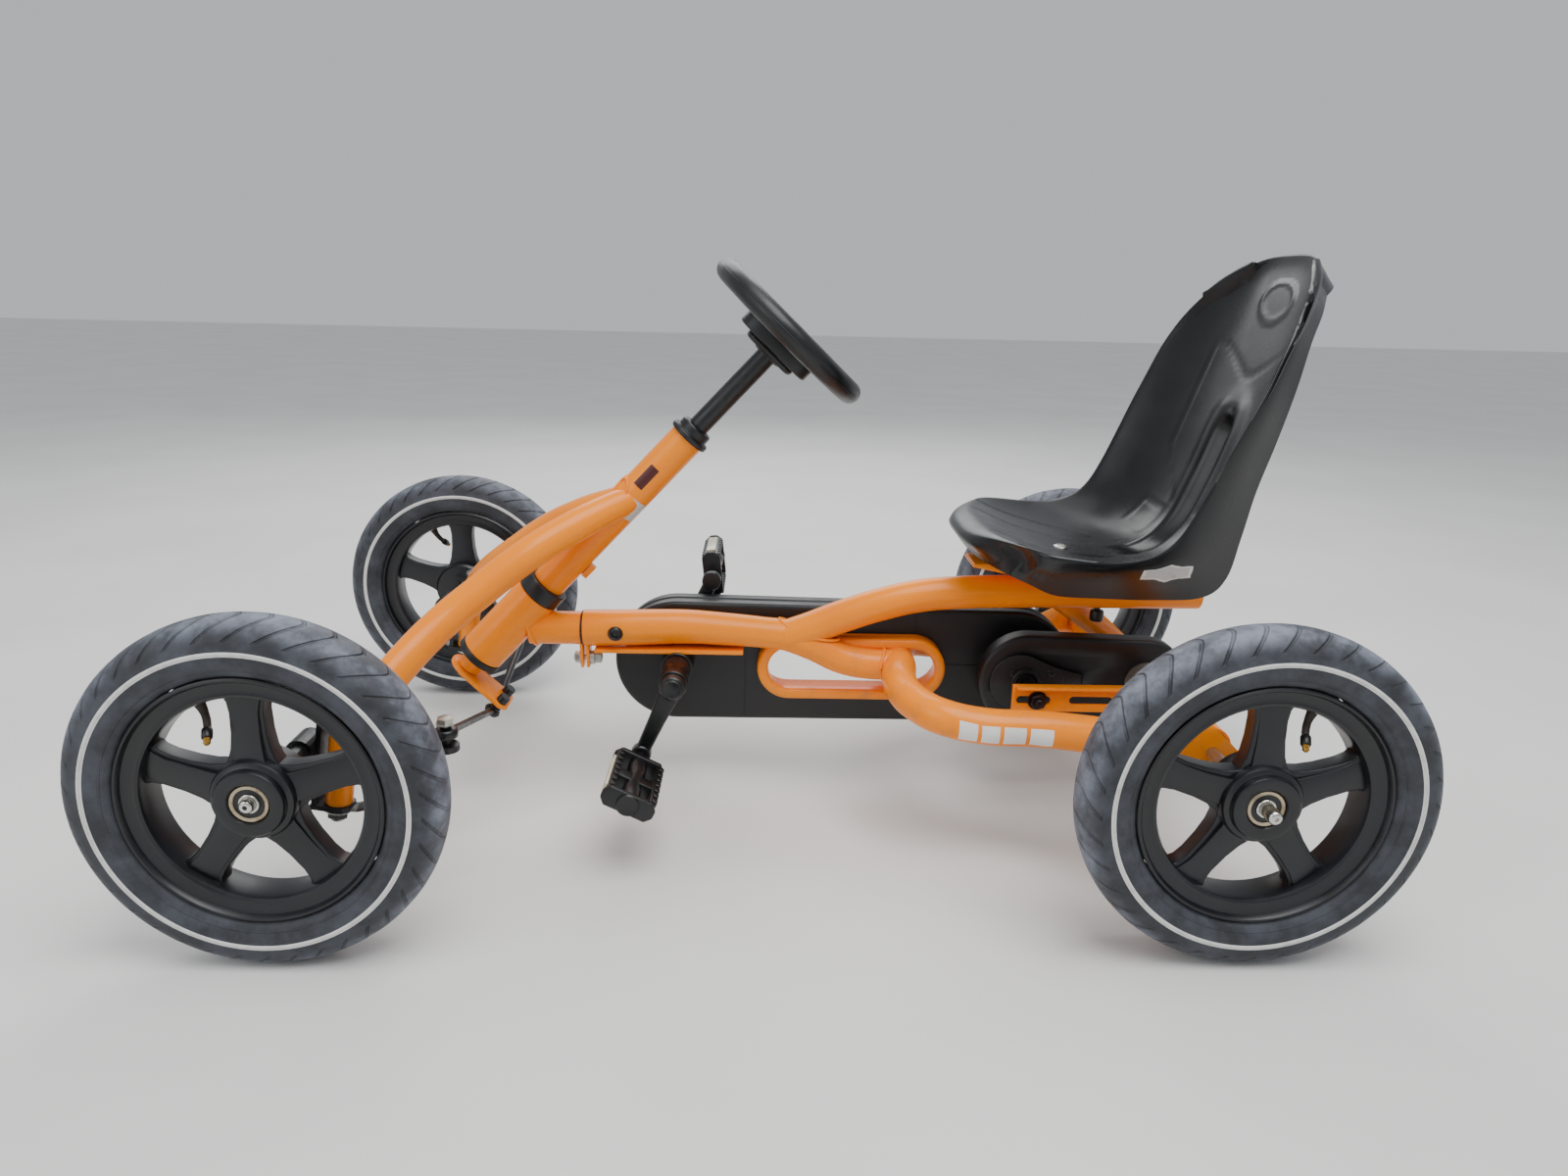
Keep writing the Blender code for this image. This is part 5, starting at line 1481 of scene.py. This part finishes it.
    def build(self) -> None:
        """Model and dress the seat, its rivets, bracket, knob and badge."""
        Bench.clear()
        bpy.ops.mesh.primitive_grid_add(x_subdivisions=self.across, y_subdivisions=self.along, size=2.0)
        shell = bpy.context.object
        mesh = bmesh.new()
        mesh.from_mesh(shell.data)
        shares = {corner: (corner.co.x, (corner.co.y + 1.0) / 2) for corner in mesh.verts}
        border = [edge for edge in mesh.edges if edge.is_boundary]
        base: dict[bmesh.types.BMVert, Vector] = {}
        for corner, (across, along) in shares.items():
            spread = math.copysign(abs(across) ** 0.85, across)
            base[corner] = self.face_point(spread, along)
            slope_u = self.face_point(min(spread + 0.02, 1.0), along) - self.face_point(max(spread
                - 0.02, -1.0), along)
            slope_v = self.face_point(spread, min(along + 0.01, 1.0)) - self.face_point(spread,
                max(along - 0.01, 0.0))
            normal = slope_u.cross(slope_v).normalized()
            if normal.z < 0 and normal.x < 0:
                normal = -normal
            corner.co = (base[corner] - normal * self.sink(spread, along)) * MM
        rim = {corner for edge in border for corner in edge.verts}
        foot = {corner: self.edge_point(math.copysign(abs(shares[corner][0]) ** 0.85, shares[corner][0]),
            shares[corner][1]) for corner in rim}
        top = {corner: corner.co / MM for corner in rim}
        away = {corner: self.outward(*shares[corner]) for corner in rim}
        calm = {corner: min(max((shares[corner][1] - 0.82) / 0.1, 0.0), 1.0) for corner in rim}
        edges = border
        current = {corner: corner for corner in rim}
        for i in range(1, self.skirt_steps + 1):
            grown = bmesh.ops.extrude_edge_only(mesh, edges=edges)["geom"]
            edges = [item for item in grown if isinstance(item, bmesh.types.BMEdge)]
            fresh = [item for item in grown if isinstance(item, bmesh.types.BMVert)]
            nearest = {tuple(round(c, 7) for c in old.co): source for old, source in current.items()}
            current = {corner: nearest[tuple(round(c, 7) for c in corner.co)] for corner in fresh}
            share = i / self.skirt_steps
            for corner, source in current.items():
                swell = (6.5 - 4.5 * calm[source]) * math.sin(math.pi * min(share * 1.25, 1.0))
                corner.co = (top[source].lerp(foot[source], share) + away[source] * swell) * MM
        bmesh.ops.recalc_face_normals(mesh, faces=mesh.faces[:])
        mesh.to_mesh(shell.data)
        mesh.free()
        Bench.pick(shell)
        bpy.ops.object.mode_set(mode="EDIT")
        bpy.ops.mesh.select_all(action="DESELECT")
        bpy.ops.object.mode_set(mode="OBJECT")
        self.soften(shell)
        middle = min(shell.data.polygons, key=lambda face: (face.center - at(-325, 0, 148) * MM).length)
        if middle.normal.z < 0:
            Bench.pick(shell)
            bpy.ops.object.mode_set(mode="EDIT")
            bpy.ops.mesh.select_all(action="SELECT")
            bpy.ops.mesh.flip_normals()
            bpy.ops.object.mode_set(mode="OBJECT")
        Bench.modify(shell, "SOLIDIFY", thickness=self.wall * MM, offset=-1.0)
        Bench.dress(shell, "bucket_seat", "seat", self.finishes.seat, Slot.PLASTIC, ["seat_shell"], 50.0)
        self.rivets()
        self.badge()
        self.bracket()

    def soften(self, shell: Piece) -> None:
        """Round the rim by easing the rows of faces on both sides of it.

        Args:
            shell: the seat before it has a thickness.
        """
        Bench.pick(shell)
        count = (self.across + 1) * (self.along + 1)
        rim = []
        for corner in shell.data.vertices[:count]:
            col, row = corner.index % (self.across + 1), corner.index // (self.across + 1)
            near = min(col, self.across - col, row, self.along - row)
            corner.select = near <= 3
            if near == 0:
                rim.append(corner.co.copy())
        for corner in shell.data.vertices[count:]:
            corner.select = corner.index < count + 2 * len(rim)
        bpy.ops.object.mode_set(mode="EDIT")
        bpy.ops.mesh.vertices_smooth(factor=0.5, repeat=16)
        bpy.ops.object.mode_set(mode="OBJECT")

    def rivets(self) -> None:
        """The plated screw head in the pan."""
        heads = []
        for x, y in ((-318, 14),):
            along = min((i / 400 for i in range(401)), key=lambda t: abs(self.face_point(0.1, t).x - x) + 300
                * (t > 0.42))
            share = y / self.row_at(along)[3]
            place = self.face_point(share, along)
            head = Bench.spun("head", [(0, -4), (8.6, -4), (8.8, 0.2), (7.6, 1.2), (4.4, 2.4), (2.6, 2.6),
                (2.2, 1.4), (0, 1.4)], place, Vector((0.05, 0, 1)), 32)
            heads.append(head)
        piece = Bench.join(heads)
        Bench.dress(piece, "seat_screws", "seat", self.finishes.zinc, Slot.ZINC)

    def badge(self) -> None:
        """A plain pale plate on the left side of the skirt, with no mark on it."""
        outline = []
        for u, v in ((-22, 7), (-9, 8), (0, 11), (9, 8), (22, 7), (22, -7), (9, -7.5), (0, -13), (-9, -7.5),
                (-22, -7)):
            outline.append(self.badge_middle + Vector((1.25 * u, 0, 1.25 * v)))
        border = Bench.plate("badge", outline, Vector((0, 0.6, 0)))
        inner = []
        for point in outline:
            arm = point - self.badge_middle
            inner.append(self.badge_middle + Vector((arm.x * 0.86, 0.7, arm.z * 0.74)))
        face = Bench.plate("badge_face", inner, Vector((0, 0.5, 0)))
        for piece, name, finish, rise in ((border, "seat_badge_border", self.finishes.white, 0.35),
                (face, "seat_badge_face", self.finishes.label, 0.75)):
            Bench.pick(piece)
            bpy.ops.object.mode_set(mode="EDIT")
            bpy.ops.mesh.select_all(action="SELECT")
            bpy.ops.mesh.quads_convert_to_tris()
            bpy.ops.mesh.subdivide(number_cuts=3)
            bpy.ops.object.mode_set(mode="OBJECT")
            Bench.modify(piece, "SHRINKWRAP", target=bpy.data.objects["bucket_seat"], offset=rise * MM,
                wrap_method="NEAREST_SURFACEPOINT", wrap_mode="ABOVE_SURFACE")
            Bench.dress(piece, name, "seat", finish, Slot.PLASTIC)

    def bracket(self) -> None:
        """Orange seat bracket on the rail and the black clamp knob under it."""
        outline = [(-222, 128.5), (-224, 132.5), (-395, 135), (-395, 116.3), (-288, 115.5)]
        piece = Bench.plate("bracket", [at(x, -26, h) for x, h in outline], ALONG_Y * 52.0)
        Bench.bevel(piece, 1.4, 3, 30.0)
        Bench.dress(piece, "painted_seat_bracket", "seat", self.finishes.orange, Slot.ORANGE,
            ["seat_bracket"])
        knob = Bench.spun("knob", [(0, 61.6), (5.4, 61.6), (7.2, 63), (7.6, 65), (7.6, 72.6), (6.8, 74.4),
            (3.2, 75), (3.2, 116), (0, 116)], at(-371.6, 0, 0), Vector((0, 0, 1)), 28)
        Bench.dress(knob, "clamp_knob", "seat", self.finishes.grip, Slot.PLASTIC, ["seat_knob"])


# ------------------------------------------------------------------ guards and drive


def oval(x0: float, h0: float, r0: float, x1: float, h1: float, r1: float, steps: int = 24) -> list[Flat]:
    """The outline round two circles of a side view, joined by their tangents.

    Args:
        x0: first centre, along the kart.
        h0: first centre, over the axle line.
        r0: first radius.
        x1: second centre, along the kart.
        h1: second centre, over the axle line.
        r1: second radius.
        steps: points on each arc.

    Returns:
        Points (x, h) in order.
    """
    heading = math.atan2(h1 - h0, x1 - x0)
    lean = math.acos((r0 - r1) / math.hypot(x1 - x0, h1 - h0))
    points = []
    for cx, cy, radius, start, end in ((x0, h0, r0, heading + lean, heading + 2 * math.pi - lean),
            (x1, h1, r1, heading - lean, heading + lean)):
        for i in range(steps + 1):
            turn = start + (end - start) * i / steps
            points.append((cx + radius * math.cos(turn), cy + radius * math.sin(turn)))
    return points


def side_plate(name: str, outline: Sequence[Flat], low: float, high: float) -> Piece:
    """A plate with a side-view outline between two distances to the left."""
    return Bench.plate(name, [at(x, low, h) for x, h in outline], ALONG_Y * (high - low))


@dataclass
class ChainGuards:
    """The two shells over the main chain, the oval opening through them and the small rear guard."""

    finishes: Finishes
    near: float = -25.0
    seam: float = -45.0
    far: float = -65.0
    opening: tuple[float, ...] = (-169, -3.5, 37, -27, -3.5, 37.01)
    wall: float = 2.6

    def outline(self, less: float) -> list[Flat]:
        """The main guard's side view, drawn in by so much."""
        return oval(-288, -5.5, 68 - less, 102.5, -3, 71.5 - less, 36)

    def window(self, more: float) -> list[Flat]:
        """The opening's side view, grown by so much."""
        x0, h0, r0, x1, h1, r1 = self.opening
        return oval(x0, h0, r0 + more, x1, h1, r1 + more, 24)

    def build(self) -> None:
        """Model and dress all guards."""
        for tag, face, inward in (("near", self.near, -1), ("far", self.far, 1)):
            edge = self.seam - inward * 0.2
            shell = side_plate("shell", self.outline(0), edge, face)
            Bench.bevel(shell, 5.0, 4, 60.0)
            pocket = side_plate("pocket", self.outline(5.6), edge - inward * -6, face + inward * self.wall)
            Bench.boolean(pocket, side_plate("keep", self.window(3.2), -90, 0))
            Bench.boolean(shell, pocket)
            Bench.boolean(shell, side_plate("hole", self.window(0.7), -90, 0))
            hole = Bench.spun("hole", [(0, -90), (16.6 if tag == "near" else 9.4, -90),
                (16.6 if tag == "near" else 9.4, 0), (0, 0)], at(100, 0, 3.5), ALONG_Y, 32)
            Bench.boolean(shell, hole)
            if tag == "near":
                jack = Bench.spun("hole", [(0, -35), (9.4, -35), (9.4, 0), (0, 0)], at(-290, 0, -2.5),
                    ALONG_Y, 32)
                Bench.boolean(shell, jack)
                for low_x, high_x, low_h, high_h in ((23.4, 24.6, -90, 90), (-172.6, -171.4, 33, 90),
                        (-172.6, -171.4, -90, -40), (-400, -206.5, -2.8, -1.8)):
                    groove = side_plate("groove", [(low_x, low_h), (high_x, low_h), (high_x, high_h),
                        (low_x, high_h)], face - 0.8, face + 5)
                    Bench.boolean(shell, groove)
            Bench.dress(shell, "chain_guard_" + tag, "frame", self.finishes.guard, Slot.PLASTIC,
                ["guard_" + tag])
        self.ring()
        self.rear()

    def ring(self) -> None:
        """The orange oval set in the opening: a rounded face and a tunnel wall behind it."""
        face = side_plate("face", self.window(0), -24.7, -4.6)
        Bench.boolean(face, side_plate("hole", self.window(-12.5), -90, 20))
        Bench.bevel(face, 4.6, 5, 60.0)
        tunnel = side_plate("tunnel", self.window(0), -62, -20)
        Bench.boolean(tunnel, side_plate("hole", self.window(-3), -90, 20))
        Bench.bevel(tunnel, 0.7, 2, 60.0)
        piece = Bench.join([face, tunnel])
        Bench.dress(piece, "painted_guard_ring", "frame", self.finishes.orange, Slot.ORANGE, ["slot_ring"])

    def rear(self) -> None:
        """The small guard: rounded shell, raised lobe with two screws, and the boss round the axle."""
        shell = side_plate("rear", oval(-424, 0, 48, -292, -2, 54, 30), 5, 30)
        Bench.bevel(shell, 4.4, 5, 60.0)
        Bench.boolean(shell, side_plate("pocket", oval(-424, 0, 45.4, -292, -2, 51.4, 30), 0, 26))
        lobe = side_plate("lobe", oval(-318, 2, 14, -282, -2, 33, 20), 29, 32.6)
        Bench.bevel(lobe, 1.5, 3, 60.0)
        fin = side_plate("fin", [(-300, 24), (-322, 16.4), (-352, 8), (-352, -6), (-322, -8), (-300, -14)],
            29, 31.4)
        Bench.bevel(fin, 1.0, 2, 60.0)
        shell = Bench.join([shell, lobe, fin])
        for x, h, radius in ((-424, 0, 23), (-290, -2.5, 11.6)):
            Bench.boolean(shell, Bench.spun("hole", [(0, 0), (radius, 0), (radius, 60), (0, 60)], at(x, 0, h),
                ALONG_Y, 40))
        boss = Bench.spun("boss", [(11.7, 31), (17.6, 31), (17.6, 34), (16.4, 35.6), (12.6, 35.6),
            (11.7, 34.8)], at(-290, 0, -2.5), ALONG_Y, 36)
        piece = Bench.join([shell, boss])
        Bench.dress(piece, "second_chain_guard", "frame", self.finishes.guard, Slot.PLASTIC, ["rear_guard"])
        screws = []
        for x, h, y in ((-276, 8.5, 32.4), (-317, 10.5, 32.4)):
            profile = [(0, y - 3.0), (4.8, y - 3.0), (4.9, y + 0.4), (4, y + 1.6), (2, y + 2.0),
                (1.6, y + 0.9), (0, y + 0.9)]
            screws.append(Bench.spun("screw", profile, at(x, 0, h), ALONG_Y, 24))
        Bench.dress(Bench.join(screws), "guard_screws", "frame", self.finishes.black_steel, Slot.BLACK_PAINT)


@dataclass
class CrankDrive:
    """Crank axle with its sleeve, arms, pedals, the shaft between the chains and the rear axle."""

    finishes: Finishes
    centre: Vector = field(default_factory=lambda: at(100, 0, 3.5))
    length: float = 84.4
    angle: float = math.radians(-65.9)

    def build(self) -> None:
        """Model and dress the drive."""
        steel = self.finishes.black_steel
        axle = Bench.spun("axle", [(0, -82), (8, -82), (8, -47.5), (49, -47.5), (49, -42.5), (8, -42.5),
            (8, 18.8), (14.6, 18.8), (15.5, 19.8), (15.5, 31), (14.8, 32), (14.8, 52), (15.5, 53),
            (15.5, 67.6), (14.6, 68.7), (8, 68.7), (8, 82), (0, 82)], self.centre, ALONG_Y, 48)
        Bench.dress(axle, "crank_sleeve", "crank", steel, Slot.BLACK_PAINT, ["crank_axle"])
        for side, tag in ((1, "left"), (-1, "right")):
            self.arm(side, tag)
            self.pedal(side, tag)
        shell = Bench.spun("shell", [(8.6, -22), (17.4, -22), (18, -21.4), (18, 17.9), (17.4, 18.5),
            (8.6, 18.5)], self.centre, ALONG_Y, 40)
        Bench.dress(shell, "crank_shell", "frame", self.finishes.black_steel, Slot.BLACK_PAINT,
            ["bottom_bracket"])
        jack = Bench.spun("jack", [(0, -52), (8, -52), (8, -47.5), (44, -47.5), (44, -42.5), (8, -42.5),
            (8, 15), (26, 15), (26, 20), (11, 20), (11, 33), (10, 34), (8, 34), (8, 78), (4, 78.1), (4, 92.4),
            (3.4, 93), (0, 93)], at(-290, 0, -2.5), ALONG_Y, 40)
        washer = Bench.spun("washer", [(4, 82), (10.4, 82), (10.7, 82.8), (10.4, 83.4), (4, 83.4)],
            at(-290, 0, -2.5), ALONG_Y, 32)
        nut = Bench.spun("nut", [(4, 83.4), (8, 83.4), (8.9, 84), (8.9, 88.2), (8, 89.2), (4, 89.2)],
            at(-290, 0, -2.5), ALONG_Y, 6)
        Bench.dress(Bench.join([jack, washer, nut]), "chain_shaft", "jack_shaft_body", steel,
            Slot.BLACK_PAINT, ["jack_shaft"])
        rear = Bench.spun("rear", [(0, -344.6), (4.4, -344.6), (6, -343), (6, 15), (25.9, 15), (25.9, 20),
            (6, 20), (6, 343), (4.4, 344.6), (0, 344.6)], at(-424, 0, 0), ALONG_Y, 32)
        Bench.dress(rear, "plated_rear_axle", "rear_axle_body", self.finishes.zinc, Slot.ZINC, ["rear_axle"])

    def arm(self, side: float, tag: str) -> None:
        """One forged arm: two eyes, a tapering web, a cap and the pedal spindle.

        Args:
            side: 1 on the left and -1 on the right.
            tag: the side's name.
        """
        out = Vector((math.cos(self.angle), 0, math.sin(self.angle))) * side
        over = ALONG_Y.cross(out)
        tip = self.centre + out * self.length
        reach = ALONG_Y * side
        outline = [(4, -11.6), (40, -9), (self.length - 6, -7.8), (self.length - 6, 7.8), (40, 9), (4, 11.6)]
        web = Bench.plate("web", [self.centre + out * u + over * v + reach * 71.0 for u, v in outline],
            reach * 9.0)
        Bench.bevel(web, 2.8, 4, 30.0)
        eyes = [Bench.spun("eye", [(8.4, 69.2), (12.6, 69.2), (13.5, 70.2), (13.5, 80.4), (12, 82),
            (8.4, 82)], self.centre, reach, 36), Bench.spun("eye", [(0, 69.2), (10.2, 69.2), (11, 70.2),
            (11, 80.6), (9.8, 82), (5, 82), (5, 186), (0, 186)], tip, reach, 36)]
        cap = Bench.spun("cap", [(0, 81), (11.4, 81), (11.2, 83.4), (9.6, 84.6), (8.2, 83.6), (0, 83.6)],
            self.centre, reach, 36)
        piece = Bench.join([web, *eyes, cap])
        Bench.dress(piece, "crank_arm_" + tag, "crank", self.finishes.black_steel, Slot.BLACK_PAINT,
            ["crank_" + tag], 40.0)

    def pedal(self, side: float, tag: str) -> None:
        """One block pedal: barrel, cage with toothed edges, end plates and two reflectors.

        Args:
            side: 1 on the left and -1 on the right.
            tag: the side's name.
        """
        out = Vector((math.cos(self.angle), 0, math.sin(self.angle))) * side
        tip = self.centre + out * self.length
        reach = ALONG_Y * side
        near = 99.0
        hang = math.radians(-26.0 if side > 0 else -84.0)
        fore = Vector((math.cos(hang), 0, -math.sin(hang)))
        rise = Vector((math.sin(hang), 0, math.cos(hang)))

        def block(u0: float, u1: float, s0: float, s1: float, z0: float, z1: float, soft: float) -> Piece:
            """A softened block between two places along, sideways and up."""
            corners = [tip + fore * u + rise * z0 + reach * s for u, s in ((u0, s0), (u1, s0), (u1, s1),
                (u0, s1))]
            return Bench.bevel(Bench.plate("block", corners, rise * (z1 - z0)), soft, 3, 30.0)

        parts = [Bench.spun("barrel", [(5.4, near), (9, near), (10, near + 2), (10, near + 30),
            (8.6, near + 34), (8.6, near + 62), (10, near + 66), (10, near + 93), (8.4, near + 96),
            (0, near + 96), (0, near + 90), (5.4, near + 90)], tip, reach, 36)]
        shape = [(-28, -4), (-22, -11), (22, -11), (28, -4), (28, 4), (22, 11), (-22, 11), (-28, 4)]
        for start, deep in ((near + 1.0, 6), (near + 88.0, 6)):
            plate = Bench.plate("end", [tip + reach * start + fore * u + rise * v for u, v in shape],
                reach * deep)
            parts.append(Bench.bevel(plate, 1.6, 3, 30.0))
        for u in (-25.5, 25.5):
            way = math.copysign(1.0, u)
            parts.append(block(min(u, u - way * 7), max(u, u - way * 7), near + 4, near + 92, -8.5, 8.5, 1.6))
            for i in range(7):
                start = near + 9 + i * 11.6
                parts.append(block(u - 4.2 - way * 3, u + 1.8 - way * 3, start, start + 7.4, -11.0, 11.0,
                    1.4))
            inner, outer = sorted((u - way * 0.5, u + way * 2.6))
            reflector = block(inner, outer, near + 15, near + 81, -5.6, 5.6, 1.0)
            Bench.dress(reflector, f"pedal_reflector_{tag}_{'front' if u > 0 else 'rear'}",
                f"pedal_{tag}_body", self.finishes.reflector, Slot.PLASTIC)
        parts.append(block(-22.0, 22.0, near + 40, near + 56, -7.5, 7.5, 1.6))
        parts.append(Bench.spun("cap", [(0, near + 94), (11, near + 94), (11.6, near + 95.4),
            (10.6, near + 96.8), (9, near + 96.2), (0, near + 96.2)], tip, reach, 32))
        Bench.dress(Bench.join(parts), "block_pedal_" + tag, f"pedal_{tag}_body", self.finishes.grip,
            Slot.PLASTIC, ["pedal_" + tag], 40.0)


@dataclass
class Hardware:
    """Chain tensioner plate, bushes, bolts, and the mechanical nodes kept as they are."""

    finishes: Finishes
    nodes: dict[str, Piece]

    def build(self) -> None:
        """Model and dress the small parts."""
        orange, black = self.finishes.orange, self.finishes.black_steel
        plate = side_plate("plate", [(-263, -15.5), (-398, -15.5), (-398, 14.5), (-263, 14.5)], 78.5, 81.5)
        lip = side_plate("lip", [(-266, 11.5), (-398, 11.5), (-398, 14.5), (-266, 14.5)], 80, 92)
        for low, high in ((-300, -272), (-367, -329)):
            Bench.boolean(plate, side_plate("slot", oval(low, -2.5, 4.4, high, -2.5, 4.41, 12), 70, 90))
        Bench.bevel(plate, 0.6, 2, 50.0)
        Bench.bevel(lip, 0.9, 3, 50.0)
        Bench.dress(Bench.join([plate, lip]), "painted_tension_bracket", "frame", orange, Slot.ORANGE,
            ["tension_bracket"])
        for name, node, profile in (("bush_ring_upper", "bush_upper", [(19.4, 224), (24.4, 224), (25.2, 225),
                (25.2, 241), (24.8, 241.7), (22, 241.7), (22, 262), (19.4, 262)]), ("bush_ring_lower",
                "bush_lower", [(19.4, 316), (22, 316), (22, 336.3), (25.6, 336.3), (26.2, 337), (26.2, 343.2),
                (25.4, 344), (19.4, 344)])):
            ring = Bench.spun("ring", profile, HEAD_TOP, DOWN, 48)
            Bench.dress(ring, name, "frame", self.finishes.grip, Slot.PLASTIC, [node])
        forward = Vector((1, 0, 0))
        low = at(0, 0, 9.6)
        parts = [Bench.spun("shank", [(0, 184.8), (3, 184.8), (3, 216.6), (0, 216.6)], low, forward, 20),
            Bench.spun("nut", [(0, 185.4), (5.8, 185.4), (6.6, 186.4), (6.6, 192.6), (3, 192.8), (0, 192.8)],
            low, forward, 6), Bench.spun("washer", [(3, 193), (8, 193), (8.2, 194.4), (8, 198.6), (3, 198.6)],
            low, forward, 28), Bench.spun("washer", [(3, 208.4), (8, 208.4), (8, 210), (3, 210)], low,
            forward, 28), Bench.spun("head", [(0, 210), (6.6, 210), (6.6, 214.6), (5.8, 215.6), (0, 215.8)],
            low, forward, 6)]
        Bench.dress(Bench.join(parts), "joint_clamp_bolt", "frame", self.finishes.zinc, Slot.ZINC,
            ["clamp_bolt"])
        bolts = []
        for way in (1, -1):
            head = [(0, 20), (8.2, 20.4), (8.4, 21.4), (7.8, 23.2), (6, 24.8), (3.6, 25.5), (3.2, 25),
                (2.9, 22.6), (0, 22.4)]
            bolts.append(Bench.spun("bolt", head, at(167, 0, 44.5), ALONG_Y * way, 32))
        Bench.dress(Bench.join(bolts), "joint_cross_bolt", "frame", black, Slot.BLACK_PAINT, ["cross_bolt"])
        kept = {"knuckle_left": black, "knuckle_right": black, "kingpin_left": self.finishes.zinc,
            "kingpin_right": self.finishes.zinc, "chain_main": self.finishes.chain,
            "chain_second": self.finishes.chain, "stop_tab": orange}
        for name, finish in kept.items():
            node = self.nodes[name]
            node.data.materials.clear()
            node.data.materials.append(finish)
            LOG.info("%s is kept as modelled, in %s", name, finish.name)


# ------------------------------------------------------------------ stage


@dataclass
class Studio:
    """Pale floor and backdrop, soft lights, and the camera; lengths here are metres."""

    floor_size: float = 24.0
    sky: str = "E3E7EC"
    sky_strength: float = 0.7
    eye: Point = (0.0094, 1.1256, 0.5739)
    turn: Point = (0.0247, 0.2795, -0.0232)
    lens_mm: float = 24.164
    sensor_mm: float = 36.0
    lamps: tuple[tuple[str, Point, float, float], ...] = (
        ("key_light", (-0.5, 0.9, 2.7), 2, 78),
        ("fill_light", (1.9, 1.5, 1.3), 1.6, 14),
        ("rim_light", (0.2, -2.2, 2), 2, 40))

    def build(self) -> None:
        """Set the stage up."""
        self.floor()
        self.lights()
        self.camera()

    def floor(self) -> None:
        """A wide pale floor with a faint mottle."""
        Bench.clear()
        bpy.ops.mesh.primitive_plane_add(size=self.floor_size)
        floor = bpy.context.object
        floor.name = "studio_floor"
        sheet = NodeSheet("matt_studio_floor")
        mottle = sheet.add("TexNoise", {"Vector": sheet.place, "Scale": 3.0, "Detail": 4.0})
        mottle = sheet.add("MapRange", {0: mottle, 1: 0.3, 2: 0.7}, **SMOOTH)
        colour = sheet.add("Mix", {0: mottle, 6: "E4E3E0", 7: "DEDDDA"}, 2, **COLOURS)
        floor.data.materials.append(sheet.wire(colour, 0.7, None))

    def lights(self) -> None:
        """Overcast sky with a broad key from above and the left, a fill and a rim light."""
        world = bpy.data.worlds.new("overcast")
        bpy.context.scene.world = world
        world.use_nodes = True
        background = world.node_tree.nodes["Background"]
        background.inputs["Color"].default_value = linear(self.sky)
        background.inputs["Strength"].default_value = self.sky_strength
        for name, place, size, power in self.lamps:
            lamp = bpy.data.lights.new(name, "AREA")
            lamp.energy = power
            lamp.size = size
            light = bpy.data.objects.new(name, lamp)
            light.location = place
            aim = Vector((0, 0, 0.25)) - Vector(place)
            light.rotation_mode = "QUATERNION"
            light.rotation_quaternion = aim.to_track_quat("-Z", "Y")
            bpy.context.scene.collection.objects.link(light)

    def camera(self) -> None:
        """Camera on the kart's left, a little above it, as a person crouching beside it sees it."""
        yaw, pitch, roll = self.turn
        aim = Matrix(((-1, 0, 0), (0, 0, -1), (0, -1, 0)))
        turn = (Matrix(((math.cos(roll), math.sin(roll), 0), (-math.sin(roll), math.cos(roll), 0),
            (0, 0, 1))) @ Matrix(((1, 0, 0), (0, math.cos(pitch), -math.sin(pitch)),
            (0, math.sin(pitch), math.cos(pitch)))) @ Matrix(((math.cos(yaw), 0, -math.sin(yaw)), (0, 1, 0),
            (math.sin(yaw), 0, math.cos(yaw)))) @ aim)
        data = bpy.data.cameras.new("camera")
        data.lens = self.lens_mm
        data.sensor_width = self.sensor_mm
        camera = bpy.data.objects.new("camera", data)
        bpy.context.scene.collection.objects.link(camera)
        axes = Matrix((turn[0], -turn[1], -turn[2])).transposed()
        camera.matrix_world = Matrix.LocRotScale(Vector(self.eye), axes.to_quaternion(), None)
        bpy.context.scene.camera = camera


def main() -> None:
    """Load the mechanical frame, build every sub-assembly round it and set the stage."""
    logging.basicConfig(level=logging.INFO, format="%(message)s", stream=sys.stdout)
    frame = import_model()
    Bench.clear()
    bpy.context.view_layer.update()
    finishes = Finishes()
    for tag, x, y, valve in (("front_left", 424, 317, 63), ("front_right", 424, -317, 63),
            ("rear_left", -424, 305, 115), ("rear_right", -424, -305, 115)):
        body = "rear_axle_body" if tag == "rear_right" else f"wheel_{tag}_body"
        knuckle = "knuckle_left_body" if y > 0 else "knuckle_right_body"
        axle_body = knuckle if x > 0 else "rear_axle_body"
        RoadWheel(tag, x, y, body, finishes, axle_body, valve).build()
    FrontAxle(finishes).build()
    MainFrame(finishes).build()
    Steering(finishes).build()
    SteeringArms(finishes).build()
    ChainGuards(finishes).build()
    CrankDrive(finishes).build()
    BucketSeat(finishes).build()
    Hardware(finishes, frame["nodes"]).build()
    Studio().build()
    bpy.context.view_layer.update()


if __name__ == "__main__":
    main()
